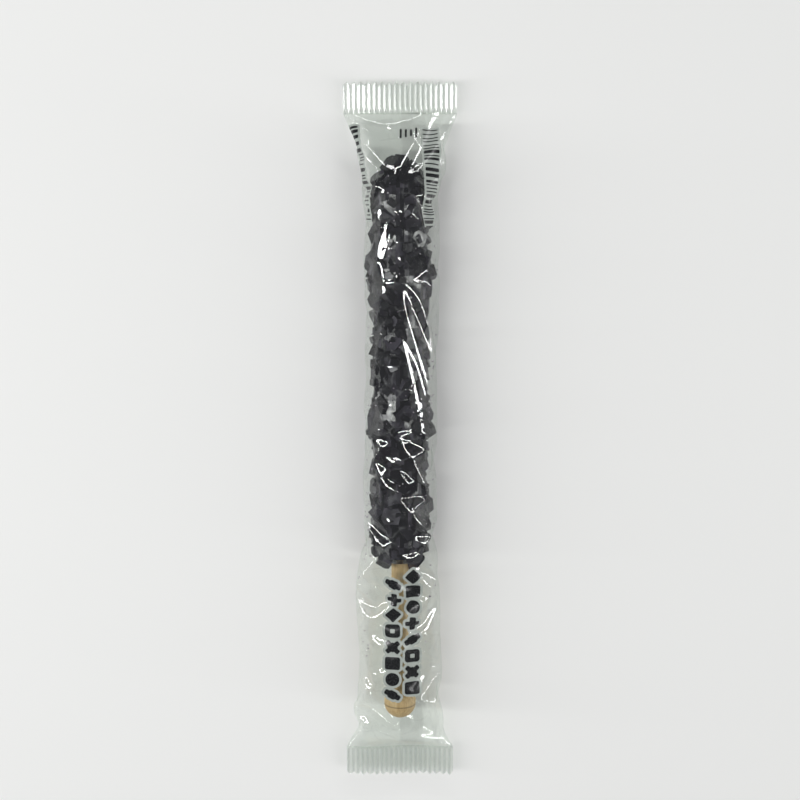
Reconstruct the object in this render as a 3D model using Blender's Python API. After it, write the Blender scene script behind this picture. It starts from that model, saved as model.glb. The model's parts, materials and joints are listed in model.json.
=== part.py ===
"""A rock candy stick sealed in its clear film bag, lying flat with the side that shows up.

The bag is one closed solid. Its film is a tube of one girth all along, pressed flat and sealed
at both ends, drawn round the sugar crystals towards the head, and tented over the bare dowel
and the ball on its tail. The crystals press through the film as relief. Units are metres. The
stick lies along Y with the candy's tip towards +Y, +Z is up, and the origin is under the
middle of the bag, on the surface that it lies on.
"""

import math
import random

import bmesh
import bpy
from mathutils import Matrix, Vector

MM = 0.001

# The stick inside the bag
STICK_LENGTH = 170 * MM
CANDY_LENGTH = 120 * MM
CANDY_RADIUS = 9.1 * MM
DOWEL_RADIUS = 2.6 * MM
BALL_RADIUS = 4.9 * MM
HEAD_DOME = 9 * MM
FOOT_DOME = 7 * MM
FOOT_SHARE = 0.45
SLOW_SWELL = 0.045
QUICK_SWELL = 0.03

# The bag, a tube of film as wide as LAY_FLAT when it is pressed flat
BAG_LENGTH = 214 * MM
LAY_FLAT = 33 * MM
SEAL_LENGTH = 9 * MM
SEAL_THICKNESS = 0.9 * MM
SEAL_CURL = 0.5 * MM
EDGE_SHARE = 0.2
TOOTH_DEPTH = 1.1 * MM
HEAD_MARGIN = 23 * MM

# How it lies, and how far the film sits outside the mean radius of the crystals
AXIS_HEIGHT = 9.2 * MM
HEAD_SEAL_HEIGHT = 4.2 * MM
TAIL_SEAL_HEIGHT = 4.6 * MM
PLAY_ON_TOP = -1.5 * MM
PLAY_BELOW = 0.5 * MM
LEAST_HEIGHT = 0.3 * MM

# How far the film bridges from a high place, and how sharply its sections draw out to wings
CANDY_REACH = 16 * MM
TAIL_REACH = 10 * MM
REACH_STEPS = 16
CANDY_PINCH = 1.16
TAIL_PINCH = 0.72

# Pleats: their depth, and for two sets that cross, the pace across and along and the shift
PLEAT_DEPTH = 0.9 * MM
WING_SHARE = 0.3
CLOSE_PLEATS = (2.9 * MM, 31 * MM, 0.9)
WIDE_PLEATS = (5.3 * MM, -23 * MM, -1.7)

# Places along the stick
BAG_END = BAG_LENGTH / 2
SEAL_START = BAG_END - SEAL_LENGTH
CANDY_TIP = BAG_END - HEAD_MARGIN
CANDY_FOOT = CANDY_TIP - CANDY_LENGTH
BALL_CENTRE = CANDY_TIP - STICK_LENGTH + BALL_RADIUS

# How finely the film is drawn
POINTS_ROUND = 64
STATION_STEP = 5.2 * MM
CLOSE_STEP = 3.1 * MM
CURVE_STEPS = 240
WIDTH_TRIES = 24

# The crystals, with the least and the most of each size, and how far out they reach
CRYSTAL_COUNT = 168
CRYSTAL_SEED = 11
CRYSTAL_WIDTH = (4.2 * MM, 6.4 * MM)
CRYSTAL_LENGTH = (6.0 * MM, 9.0 * MM)
CRYSTAL_DEPTH = (3.8 * MM, 5.8 * MM)
CRYSTAL_REACH = (0.98, 1.12)
CRYSTAL_LEAN = 0.6
CRYSTAL_BEVEL = 0.3
FLOOR_GAP = 0.1 * MM
GOLDEN_ANGLE = math.radians(137.508)
SUGAR_SHEAR = math.tan(math.radians(13))


def clear_scene():
    """Removes whatever the file opened with."""
    for found in list(bpy.data.objects):
        bpy.data.objects.remove(found, do_unlink=True)


def smooth_step(value):
    """Eases from 0 to 1 with level ends."""
    value = max(0.0, min(1.0, value))
    return value * value * (3 - 2 * value)


def ease(start, end, y, low, high):
    """Goes from low to high as y goes from start to end."""
    return low + (high - low) * smooth_step((y - start) / (end - start))


def quarter_round(share):
    """Height of a quarter circle that rises from 0 to 1."""
    share = max(0.0, min(1.0, share))
    return math.sqrt(1 - (1 - share) ** 2)


def candy_radius(y):
    """Mean radius of the crystals: a domed head, a rounded foot and uneven growth between."""
    head = quarter_round((CANDY_TIP - y) / HEAD_DOME)
    foot = FOOT_SHARE + (1 - FOOT_SHARE) * quarter_round((y - CANDY_FOOT) / FOOT_DOME)
    slow = SLOW_SWELL * math.sin(y / (7.5 * MM) + 0.8)
    quick = QUICK_SWELL * math.sin(y / (3.6 * MM))
    return CANDY_RADIUS * head * foot * (1 + slow + quick)


def content_height(y):
    """How far the contents hold the film off the axis at this place."""
    if y > CANDY_FOOT:
        return max(candy_radius(y), LEAST_HEIGHT)
    dowel = DOWEL_RADIUS if y > BALL_CENTRE else LEAST_HEIGHT
    over_ball = BALL_RADIUS**2 - (y - BALL_CENTRE) ** 2
    return max(math.sqrt(max(over_ball, 0.0)), dowel)


def film_height(y):
    """Height of the film over the axis: it bridges from each high place to the next."""
    reach = ease(CANDY_FOOT - 8 * MM, BALL_CENTRE + 8 * MM, y, CANDY_REACH, TAIL_REACH)
    highest = 0.0
    for step in range(-REACH_STEPS, REACH_STEPS + 1):
        share = step / REACH_STEPS
        sag = abs(share) ** 1.5
        highest = max(highest, content_height(y + reach * share) * (1 - sag))
    return highest


def axis_height(y):
    """Height of the middle of the bag: level along the stick, sloping down to each seal."""
    if y > 0:
        return ease(CANDY_TIP - HEAD_DOME, SEAL_START, y, AXIS_HEIGHT, HEAD_SEAL_HEIGHT)
    return ease(BALL_CENTRE - 1 * MM, -SEAL_START, y, AXIS_HEIGHT, TAIL_SEAL_HEIGHT)


def pinch(y):
    """Exponent of the section: 2 is an oval, and less draws its sides out to thin wings."""
    return ease(CANDY_FOOT - 2 * MM, CANDY_FOOT - 16 * MM, y, CANDY_PINCH, TAIL_PINCH)


def over_candy(y):
    """1 along the candy and 0 clear of it."""
    foot = smooth_step((y - CANDY_FOOT + 4 * MM) / (8 * MM))
    return foot * smooth_step((CANDY_TIP - y) / (8 * MM))


def half_oval(half_width, height, power):
    """Points over half of a pinched oval, from its right edge to its left."""
    points = []
    for step in range(CURVE_STEPS + 1):
        turn = math.pi * step / CURVE_STEPS
        across = math.copysign(abs(math.cos(turn)) ** (2 / power), math.cos(turn))
        points.append((half_width * across, height * math.sin(turn) ** (2 / power)))
    return points


def curve_length(points):
    """Length of a run of points."""
    return sum(math.dist(near, far) for near, far in zip(points, points[1:]))


def half_width_for(height, power):
    """Half width of the section whose half girth is the film's lay-flat width."""
    low, high = 0.0, LAY_FLAT / 2
    for _ in range(WIDTH_TRIES):
        middle = (low + high) / 2
        if curve_length(half_oval(middle, height, power)) < LAY_FLAT:
            low = middle
        else:
            high = middle
    return low


def evenly(points, count):
    """The curve's first count points at equal steps along the film, without its last point."""
    pace = curve_length(points) / count
    placed = [points[0]]
    walked = 0.0
    for near, far in zip(points, points[1:]):
        step = math.dist(near, far)
        while step > 0 and len(placed) < count and walked + step >= pace * len(placed):
            share = (pace * len(placed) - walked) / step
            placed.append(tuple(a + (b - a) * share for a, b in zip(near, far)))
        walked += step
    return placed


def gather(y):
    """How strongly the film pleats: most between a seal and what lies in the bag."""
    to_seal = smooth_step((BAG_END - abs(y)) / (14 * MM))
    head = smooth_step((y - CANDY_TIP + 6 * MM) / (8 * MM)) * to_seal
    tail = smooth_step((BALL_CENTRE - y) / (6 * MM)) * to_seal
    past_foot = smooth_step((CANDY_FOOT - y) / (10 * MM))
    wings = WING_SHARE * past_foot * smooth_step((y - BALL_CENTRE) / (8 * MM))
    return max(head, tail, wings)


def pleat(x, y, side):
    """Height of the pleats in the film, two sets of sharp ridges that cross."""
    ridges = []
    for across, along, shift in (CLOSE_PLEATS, WIDE_PLEATS):
        ridges.append(abs(math.sin(x / across + y / along + side * shift)))
    return PLEAT_DEPTH * gather(y) * (0.6 * ridges[0] + 0.4 * ridges[1] - 0.45)


def film_section(y):
    """One ring of film round the bag, as (x, z), from the right edge over the top and back under."""
    in_seal = BAG_END - abs(y) < SEAL_LENGTH
    if in_seal:
        height, power, half_width = 0.0, 1.0, LAY_FLAT / 2
    else:
        flatten = smooth_step((SEAL_START - abs(y)) / (9 * MM))
        height = max(film_height(y) * flatten, LEAST_HEIGHT)
        power = pinch(y)
        half_width = half_width_for(height, power)
    half = evenly(half_oval(half_width, height, power), POINTS_ROUND // 2)
    curl = SEAL_CURL if in_seal else 0.0
    ring = []
    for side, play in ((1, PLAY_ON_TOP), (-1, PLAY_BELOW)):
        stretch = 1 + play * over_candy(y) / max(height, 1 * MM)
        for index, (x, z) in enumerate(half):
            thickness = SEAL_THICKNESS / 2 * (EDGE_SHARE if index == 0 else 1.0)
            lift = z * stretch + thickness + pleat(x, y, side)
            ripple = curl * math.sin(side * x / (4.4 * MM) + y / (40 * MM))
            ring.append((side * x, max(axis_height(y) + side * lift + ripple, 0.0)))
    return ring


def stations():
    """Places along the bag where a ring of film is drawn, closer together where the shape turns."""
    end = [SEAL_START, BAG_END - 2 * TOOTH_DEPTH, BAG_END]
    places = [-y for y in reversed(end)]
    y = -SEAL_START + STATION_STEP / 2
    while y < SEAL_START - STATION_STEP / 3:
        places.append(y)
        nearest = min(abs(y - turn) for turn in (BALL_CENTRE, CANDY_TIP, CANDY_FOOT))
        y += CLOSE_STEP if nearest < HEAD_DOME else STATION_STEP
    return places + end


def film_tube(name):
    """The closed bag: rings of film joined along its length, with a toothed cut at both ends."""
    mesh = bmesh.new()
    rings = []
    for y in stations():
        ring = []
        for index, (x, z) in enumerate(film_section(y)):
            notch = TOOTH_DEPTH * (index % 2) if abs(y) == BAG_END else 0.0
            ring.append(mesh.verts.new((x, y - math.copysign(notch, y), z)))
        rings.append(ring)
    for near, far in zip(rings, rings[1:]):
        for index in range(POINTS_ROUND):
            after = (index + 1) % POINTS_ROUND
            mesh.faces.new((near[index], near[after], far[after], far[index]))
    for ring in (rings[0], rings[-1]):
        for index in range(POINTS_ROUND // 2):
            corners = (ring[index], ring[index + 1], ring[-index - 1], ring[-index])
            mesh.faces.new(list(dict.fromkeys(corners)))
    bmesh.ops.recalc_face_normals(mesh, faces=mesh.faces)
    return as_object(name, mesh)


def as_object(name, mesh):
    """Wraps a bmesh in an object of that name."""
    data = bpy.data.meshes.new(name)
    mesh.to_mesh(data)
    mesh.free()
    return bpy.data.objects.new(name, data)


def long_sharp_edges(mesh):
    """Two opposite edges along a crystal, where sugar grows a narrow face."""
    found = []
    for edge in mesh.edges:
        near, far = (vertex.co for vertex in edge.verts)
        if abs((near - far).normalized().y) > 0.9 and near.x * near.z > 0:
            found.append(edge)
    return found


def crystal(name, size, place, turn):
    """One sugar crystal: a leaning prism with two of its long edges cut off."""
    mesh = bmesh.new()
    bmesh.ops.create_cube(mesh, size=1.0)
    lean = Matrix.Shear("XY", 4, (SUGAR_SHEAR, 0))
    bmesh.ops.transform(mesh, matrix=lean @ Matrix.Diagonal((*size, 1)), verts=mesh.verts)
    cut = CRYSTAL_BEVEL * min(size)
    bmesh.ops.bevel(mesh, geom=long_sharp_edges(mesh), offset=cut, segments=1, affect="EDGES")
    bmesh.ops.transform(mesh, matrix=Matrix.Translation(place) @ turn, verts=mesh.verts)
    lowest = min(vertex.co.z for vertex in mesh.verts)
    lift = max(FLOOR_GAP - lowest, 0.0)
    bmesh.ops.translate(mesh, vec=(0, 0, lift), verts=mesh.verts)
    return as_object(name, mesh)


def grow_crystals(collection):
    """Crystals grown outwards from the stick in a spiral, uneven in size and lean."""
    chance = random.Random(CRYSTAL_SEED)
    for index in range(CRYSTAL_COUNT):
        y = CANDY_FOOT + 1.5 * MM + (CANDY_LENGTH - 3 * MM) * (index + 0.5) / CRYSTAL_COUNT
        angle = index * GOLDEN_ANGLE + chance.uniform(-0.35, 0.35)
        limits = (CRYSTAL_WIDTH, CRYSTAL_LENGTH, CRYSTAL_DEPTH)
        size = Vector([chance.uniform(*limit) for limit in limits])
        outer = candy_radius(y) * chance.uniform(*CRYSTAL_REACH)
        near_tip = max(0.0, 1 - (CANDY_TIP - y) / HEAD_DOME)
        near_foot = max(0.0, 1 - (y - CANDY_FOOT) / FOOT_DOME)
        spoke = Vector((math.cos(angle), 0, math.sin(angle)))
        outward = (spoke + Vector((0, 1.3 * near_tip - 0.9 * near_foot, 0))).normalized()
        lean = Vector([chance.uniform(-CRYSTAL_LEAN, CRYSTAL_LEAN) for _ in range(3)])
        axis = (outward + lean).normalized()
        inward = 0.5 * abs(axis.dot(outward)) * size.y + 0.18 * size.x
        place = Vector((0, y, AXIS_HEIGHT)) + spoke * max(outer - inward, 0.0)
        turn = axis.to_track_quat("Y", "Z").to_matrix().to_4x4()
        turn = turn @ Matrix.Rotation(chance.uniform(0, math.tau), 4, "Y")
        collection.objects.link(crystal(f"crystal_{index}", size, place, turn))


def clear_film():
    """Clear glossy packing film, pale grey where light catches it."""
    material = bpy.data.materials.new("clear_film")
    material.use_nodes = True
    shader = material.node_tree.nodes["Principled BSDF"]
    shader.inputs["Base Color"].default_value = (0.485, 0.522, 0.497, 1)
    shader.inputs["Roughness"].default_value = 0.12
    shader.inputs["Metallic"].default_value = 0.0
    return material


def fuse(target, collection):
    """Joins the collection's pieces to the target by one union, and removes them."""
    union = target.modifiers.new("crystals", "BOOLEAN")
    union.operation = "UNION"
    union.operand_type = "COLLECTION"
    union.collection = collection
    union.solver = "MANIFOLD"
    graph = bpy.context.evaluated_depsgraph_get()
    joined = bpy.data.meshes.new_from_object(target.evaluated_get(graph))
    target.modifiers.clear()
    target.data = joined
    for piece in list(collection.objects):
        bpy.data.objects.remove(piece, do_unlink=True)
    bpy.data.collections.remove(collection)


def main():
    """Builds the wrapped stick."""
    clear_scene()
    parts = bpy.data.collections.new("rock_candy_stick")
    loose = bpy.data.collections.new("loose_crystals")
    bpy.context.scene.collection.children.link(parts)
    bpy.context.scene.collection.children.link(loose)
    bag = film_tube("wrapped_stick")
    parts.objects.link(bag)
    grow_crystals(loose)
    bpy.context.view_layer.update()
    fuse(bag, loose)
    bag.data.materials.clear()
    bag.data.materials.append(clear_film())


main()
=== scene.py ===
"""The looks of a rock candy stick in its clear film bag.

The bag in the frame is one plain solid. Here it becomes what the real thing is: sugar crystals
grown on a wooden stick with a turned ball end, inside a thin film tube that is sealed and
crimped at both ends and down its back, with plain printed shapes on its front.
"""

import json
import logging
import math
import random
from dataclasses import dataclass, field
from enum import Enum

import bmesh
import bpy
import numpy as np
from mathutils import Matrix, Vector
from mathutils.bvhtree import BVHTree

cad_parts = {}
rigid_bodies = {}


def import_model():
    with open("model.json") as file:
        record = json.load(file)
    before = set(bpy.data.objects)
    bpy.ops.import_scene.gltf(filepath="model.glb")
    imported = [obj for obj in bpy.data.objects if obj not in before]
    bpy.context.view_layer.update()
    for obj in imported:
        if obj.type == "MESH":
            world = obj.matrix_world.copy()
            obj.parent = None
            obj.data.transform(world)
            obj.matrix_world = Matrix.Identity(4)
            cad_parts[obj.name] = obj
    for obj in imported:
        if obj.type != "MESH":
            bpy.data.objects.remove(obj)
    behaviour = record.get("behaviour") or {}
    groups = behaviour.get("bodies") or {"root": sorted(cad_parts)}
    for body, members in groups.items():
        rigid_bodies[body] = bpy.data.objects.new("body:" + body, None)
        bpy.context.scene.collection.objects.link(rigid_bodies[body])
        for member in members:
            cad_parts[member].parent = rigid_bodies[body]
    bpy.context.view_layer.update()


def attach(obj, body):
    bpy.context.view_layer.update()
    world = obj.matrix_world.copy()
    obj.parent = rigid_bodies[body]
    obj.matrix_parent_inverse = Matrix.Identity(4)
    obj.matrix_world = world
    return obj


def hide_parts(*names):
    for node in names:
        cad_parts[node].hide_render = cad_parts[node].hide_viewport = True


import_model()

MM = 0.001
NODE = "wrapped_stick"
BODY = "root"
TINY = 1e-9
# A signed distance that is far outside any printed shape, in millimetres
FAR = 99.0
# Taken off the count of a grid's points, it keeps a place just short of the last one
SHORT_OF_LAST = 1.001
# The film's creases, and the painted highlights on the seals' ribs, are kept at its points under
# this name, and its finish reads them
CREASE = "crease"
# Sockets of the colour mix node, which has several of the same name
FIRST_COLOUR = 6
SECOND_COLOUR = 7
MIXED_COLOUR = 2

log = logging.getLogger("rock_candy_stick")

Values = dict[str | int, object]
Colour = tuple[float, float, float, float]


def linear(colour: str) -> Colour:
    """Turns an sRGB hex colour into the linear values that shaders take.

    Args:
        colour: Six hex digits after a hash.

    Returns:
        Linear red, green and blue, and full alpha.
    """
    values = [int(colour[place : place + 2], 16) / 255 for place in (1, 3, 5)]
    opened = [v / 12.92 if v <= 0.04045 else ((v + 0.055) / 1.055) ** 2.4 for v in values]
    return (*opened, 1.0)


def add_node(
    tree: bpy.types.NodeTree, kind: str, inputs: Values, **settings: object
) -> bpy.types.Node:
    """Adds one node to a tree.

    Args:
        tree: The node tree.
        kind: The node's type name.
        inputs: Input name or index to a value, or to the socket that feeds it.
        **settings: Attributes of the node itself, such as its operation.

    Returns:
        The new node.
    """
    node = tree.nodes.new(kind)
    for name, value in settings.items():
        setattr(node, name, value)
    for name, value in inputs.items():
        if isinstance(value, bpy.types.NodeSocket):
            tree.links.new(value, node.inputs[name])
        else:
            node.inputs[name].default_value = value
    return node


def new_material(name: str) -> tuple[bpy.types.Material, bpy.types.NodeTree]:
    """Starts a material with an empty tree.

    Args:
        name: The material's name.

    Returns:
        The material and its node tree.
    """
    material = bpy.data.materials.new(name)
    material.use_nodes = True
    material.node_tree.nodes.clear()
    return material, material.node_tree


def smooth_step(value: float) -> float:
    """Eases from 0 to 1 with level ends.

    Args:
        value: How far along, held between 0 and 1.

    Returns:
        The eased value.
    """
    value = max(0.0, min(1.0, value))
    return value * value * (3 - 2 * value)


def ease(start: float, end: float, y: float, low: float, high: float) -> float:
    """Goes smoothly from one value to another between two places.

    Args:
        start: Where it leaves the first value.
        end: Where it reaches the second.
        y: The place asked for.
        low: The first value.
        high: The second value.

    Returns:
        The value at that place.
    """
    return low + (high - low) * smooth_step((y - start) / (end - start))


def quarter_round(share: float) -> float:
    """Height of a quarter circle that rises from 0 to 1.

    Args:
        share: How far along the circle's base, held between 0 and 1.

    Returns:
        The height.
    """
    share = max(0.0, min(1.0, share))
    return math.sqrt(1 - (1 - share) ** 2)


def unit(vectors: np.ndarray) -> np.ndarray:
    """Brings vectors to a length of 1.

    Args:
        vectors: Vectors along the last dimension.

    Returns:
        The same directions at unit length.
    """
    return vectors / np.maximum(np.linalg.norm(vectors, axis=-1, keepdims=True), TINY)


def from_points(
    name: str, points: np.ndarray, faces: list[tuple[int, ...]], smooth: bool = True
) -> bpy.types.Object:
    """Makes an object in the scene from points and faces.

    Args:
        name: The object's name.
        points: One row of three numbers for each point, in metres.
        faces: Point indices of each face.
        smooth: Whether the faces are shaded smooth.

    Returns:
        The new object.
    """
    mesh = bpy.data.meshes.new(name)
    mesh.from_pydata(points.tolist(), [], faces)
    mesh.polygons.foreach_set("use_smooth", [smooth] * len(mesh.polygons))
    mesh.update()
    piece = bpy.data.objects.new(name, mesh)
    bpy.context.scene.collection.objects.link(piece)
    return piece


def from_bmesh(
    name: str, mesh: bmesh.types.BMesh, collection: bpy.types.Collection
) -> bpy.types.Object:
    """Wraps a bmesh in an object, and frees the bmesh.

    Args:
        name: The object's name.
        mesh: The bmesh.
        collection: Where the object goes.

    Returns:
        The new object.
    """
    data = bpy.data.meshes.new(name)
    mesh.to_mesh(data)
    mesh.free()
    piece = bpy.data.objects.new(name, data)
    collection.objects.link(piece)
    return piece


def mark_creases(piece: bpy.types.Object, values: np.ndarray) -> None:
    """Keeps at each point how much the film scatters light there.

    Args:
        piece: A piece of film.
        values: One value from 0 to 1 for each of its points.
    """
    crease = piece.data.attributes.new(CREASE, "FLOAT", "POINT")
    crease.data.foreach_set("value", values.ravel())


def fit_out(piece: bpy.types.Object, material: bpy.types.Material) -> bpy.types.Object:
    """Gives a piece its finish, and makes it stand for the frame's bag and ride with it.

    Args:
        piece: The finished mesh.
        material: Its finish.

    Returns:
        The same piece.
    """
    piece.data.materials.clear()
    piece.data.materials.append(material)
    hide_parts(NODE)
    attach(piece, BODY)
    return piece


@dataclass(frozen=True)
class StickPlan:
    """The driving sizes of the stick and its bag, the same as the frame was built from."""

    stick_length: float = 170 * MM
    candy_length: float = 120 * MM
    candy_mean: float = 9.1 * MM
    dowel: float = 2.6 * MM
    ball: float = 4.9 * MM
    head_dome: float = 9 * MM
    foot_dome: float = 7 * MM
    foot_share: float = 0.45
    # The crust swells and narrows a little along the stick, in a slow wave and a quick one
    slow_swell: float = 0.045
    slow_wave: float = 7.5 * MM
    slow_start: float = 0.8
    quick_swell: float = 0.03
    quick_wave: float = 3.6 * MM
    bag_length: float = 214 * MM
    lay_flat: float = 33 * MM
    seal_length: float = 9 * MM
    head_margin: float = 23 * MM
    # Heights of the stick's axis and of the two welded ends over the surface that it lies on
    axis: float = 9.2 * MM
    head_seal: float = 4.2 * MM
    tail_seal: float = 4.6 * MM
    # How far past the ball's middle the bag starts to slope down to the tail
    tail_slope: float = 1 * MM
    # The welded ends wave gently
    seal_curl: float = 0.5 * MM
    curl_span: float = 9 * MM
    curl_wave: float = 4.4 * MM
    curl_drift: float = 40 * MM
    tooth_depth: float = 1.1 * MM
    teeth: int = 16
    # The film bridges from high place to high place, over a longer way on the candy than beyond it
    least_hold: float = 0.3 * MM
    candy_bridge: float = 16 * MM
    dowel_bridge: float = 10 * MM
    bridge_fade: float = 8 * MM
    bridge_power: float = 1.5
    bridge_steps: int = 16
    # Exponent of the bag's section: 2 is an oval, and less draws its sides out to wings
    candy_pinch: float = 1.16
    dowel_pinch: float = 0.72
    pinch_start: float = 2 * MM
    pinch_end: float = 16 * MM

    @property
    def end(self) -> float:
        """Where the bag ends."""
        return self.bag_length / 2

    @property
    def seal(self) -> float:
        """Where each crimped seal starts."""
        return self.end - self.seal_length

    @property
    def tip(self) -> float:
        """Where the candy's head ends."""
        return self.end - self.head_margin

    @property
    def foot(self) -> float:
        """Where the candy stops and the bare dowel starts."""
        return self.tip - self.candy_length

    @property
    def ball_centre(self) -> float:
        """Middle of the ball on the dowel's end."""
        return self.tip - self.stick_length + self.ball

    def candy_radius(self, y: float) -> float:
        """Mean radius of the crust.

        Args:
            y: Place along the stick.

        Returns:
            The radius there.
        """
        head = quarter_round((self.tip - y) / self.head_dome)
        foot = quarter_round((y - self.foot) / self.foot_dome)
        foot = self.foot_share + (1 - self.foot_share) * foot
        slow = self.slow_swell * math.sin(y / self.slow_wave + self.slow_start)
        quick = self.quick_swell * math.sin(y / self.quick_wave)
        return self.candy_mean * head * foot * (1 + slow + quick)

    def content(self, y: float) -> float:
        """How far the contents hold the film off the axis.

        Args:
            y: Place along the stick.

        Returns:
            The reach of candy, dowel or ball there.
        """
        if y > self.foot:
            return max(self.candy_radius(y), self.least_hold)
        dowel = self.dowel if y > self.ball_centre else self.least_hold
        over_ball = self.ball**2 - (y - self.ball_centre) ** 2
        return max(math.sqrt(max(over_ball, 0.0)), dowel)

    def film_height(self, y: float) -> float:
        """Height of the film over the axis, bridging from each high place to the next.

        Args:
            y: Place along the bag.

        Returns:
            The height there.
        """
        start, end = self.foot - self.bridge_fade, self.ball_centre + self.bridge_fade
        reach = ease(start, end, y, self.candy_bridge, self.dowel_bridge)
        steps = self.bridge_steps
        shares = [step / steps for step in range(-steps, steps + 1)]
        fall = [1 - abs(share) ** self.bridge_power for share in shares]
        return max(self.content(y + reach * share) * left for share, left in zip(shares, fall))

    def middle(self, y: float) -> float:
        """Height of the bag's middle: level along the stick, sloping down to each seal.

        Args:
            y: Place along the bag.

        Returns:
            The height over the surface that it lies on.
        """
        if y > 0:
            return ease(self.tip - self.head_dome, self.seal, y, self.axis, self.head_seal)
        return ease(self.ball_centre - self.tail_slope, -self.seal, y, self.axis, self.tail_seal)

    def pinch(self, y: float) -> float:
        """Exponent of the bag's section.

        Args:
            y: Place along the bag.

        Returns:
            The exponent there.
        """
        start, end = self.foot - self.pinch_start, self.foot - self.pinch_end
        return ease(start, end, y, self.candy_pinch, self.dowel_pinch)

    def curl(self, x: np.ndarray | float, y: np.ndarray | float) -> np.ndarray | float:
        """How far the welded ends wave off the level, fading out towards the stick.

        Args:
            x: Places across the bag.
            y: Places along it.

        Returns:
            The rise at each place.
        """
        share = np.clip((np.abs(y) - self.seal + self.curl_span) / self.curl_span, 0, 1)
        wave = np.sin(x / self.curl_wave + y / self.curl_drift)
        return self.seal_curl * share**2 * (3 - 2 * share) * wave


PLAN = StickPlan()


@dataclass(frozen=True)
class GrownSugar:
    """Rock sugar, grown slowly from coloured syrup: flat glassy faces over a dark, murky body."""

    name: str = "grown_rock_sugar"
    body: str = "#131118"
    clear: str = "#4a4650"
    # Painted light: the lighter colour shows on faces picked by the way they point, as lit facets
    # Growth steps on a real crystal are 0.05 to 0.2 mm, too fine to show, so they are drawn at
    # 0.9 mm
    growth_step: float = 0.9 * MM
    step_detail: float = 2.0
    step_height: float = 0.12 * MM
    step_share: float = 0.12
    # The roughness of the faces, and the span of the growth steps over which it rises
    smoothest: float = 0.12
    dullest: float = 0.26
    dulling: tuple[float, float] = (0.35, 0.7)
    specular: float = 0.34
    # The painted facet light is dimmed in murky patches about as wide as a crystal. It rises over
    # a span of the patches, and a share of it is left where the murk is thickest
    cloud: float = 4.0 * MM
    cloud_detail: float = 3.0
    facet_light_rise: tuple[float, float] = (0.4, 0.65)
    least_facet_light: float = 0.3
    # Faces that look alike within this much of a turn count as one, and draws under this share
    # get no painted facet light
    same_face: float = 0.05
    unlit_face_share: float = 0.45

    def material(self) -> bpy.types.Material:
        """Builds the finish.

        Grown faces are smooth, so each one catches the light as a whole and its neighbour stays
        black. Faces are also painted lighter grey-purple by the way they point, as lit facets, and
        less so in the murk's thicker patches. The growth steps break up the gloss.

        Returns:
            The material.
        """
        material, tree = new_material(self.name)
        geometry = add_node(tree, "ShaderNodeNewGeometry", {})
        place = geometry.outputs["Position"]
        face = add_node(
            tree,
            "ShaderNodeVectorMath",
            {0: geometry.outputs["True Normal"], 1: (self.same_face,) * 3},
            operation="SNAP",
        )
        # Each way a face points draws how much painted facet light it gets
        facet_light_draw = add_node(tree, "ShaderNodeTexWhiteNoise", {"Vector": face.outputs["Vector"]})
        clear = add_node(
            tree,
            "ShaderNodeMapRange",
            {"Value": facet_light_draw.outputs["Value"], "From Min": self.unlit_face_share},
        )
        murk = add_node(
            tree,
            "ShaderNodeTexNoise",
            {"Vector": place, "Scale": 1 / self.cloud, "Detail": self.cloud_detail},
        )
        tone = add_node(
            tree,
            "ShaderNodeMapRange",
            {
                "Value": murk.outputs["Fac"],
                "From Min": self.facet_light_rise[0],
                "From Max": self.facet_light_rise[1],
                "To Min": self.least_facet_light,
            },
        )
        share = add_node(
            tree,
            "ShaderNodeMath",
            {0: clear.outputs["Result"], 1: tone.outputs["Result"]},
            operation="MULTIPLY",
        )
        # The body colour, lightened towards the painted lit-facet colour
        colour = add_node(
            tree,
            "ShaderNodeMix",
            {
                "Factor": share.outputs[0],
                FIRST_COLOUR: linear(self.body),
                SECOND_COLOUR: linear(self.clear),
            },
            data_type="RGBA",
        )
        steps = add_node(
            tree,
            "ShaderNodeTexNoise",
            {"Vector": place, "Scale": 1 / self.growth_step, "Detail": self.step_detail},
        )
        rough = add_node(
            tree,
            "ShaderNodeMapRange",
            {
                "Value": steps.outputs["Fac"],
                "From Min": self.dulling[0],
                "From Max": self.dulling[1],
                "To Min": self.smoothest,
                "To Max": self.dullest,
            },
        )
        bump = add_node(
            tree,
            "ShaderNodeBump",
            {
                "Height": steps.outputs["Fac"],
                "Strength": self.step_share,
                "Distance": self.step_height,
            },
        )
        shader = add_node(
            tree,
            "ShaderNodeBsdfPrincipled",
            {
                "Base Color": colour.outputs[MIXED_COLOUR],
                "Roughness": rough.outputs["Result"],
                "Specular IOR Level": self.specular,
                "Normal": bump.outputs["Normal"],
            },
        )
        add_node(tree, "ShaderNodeOutputMaterial", {"Surface": shader.outputs["BSDF"]})
        return material


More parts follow.
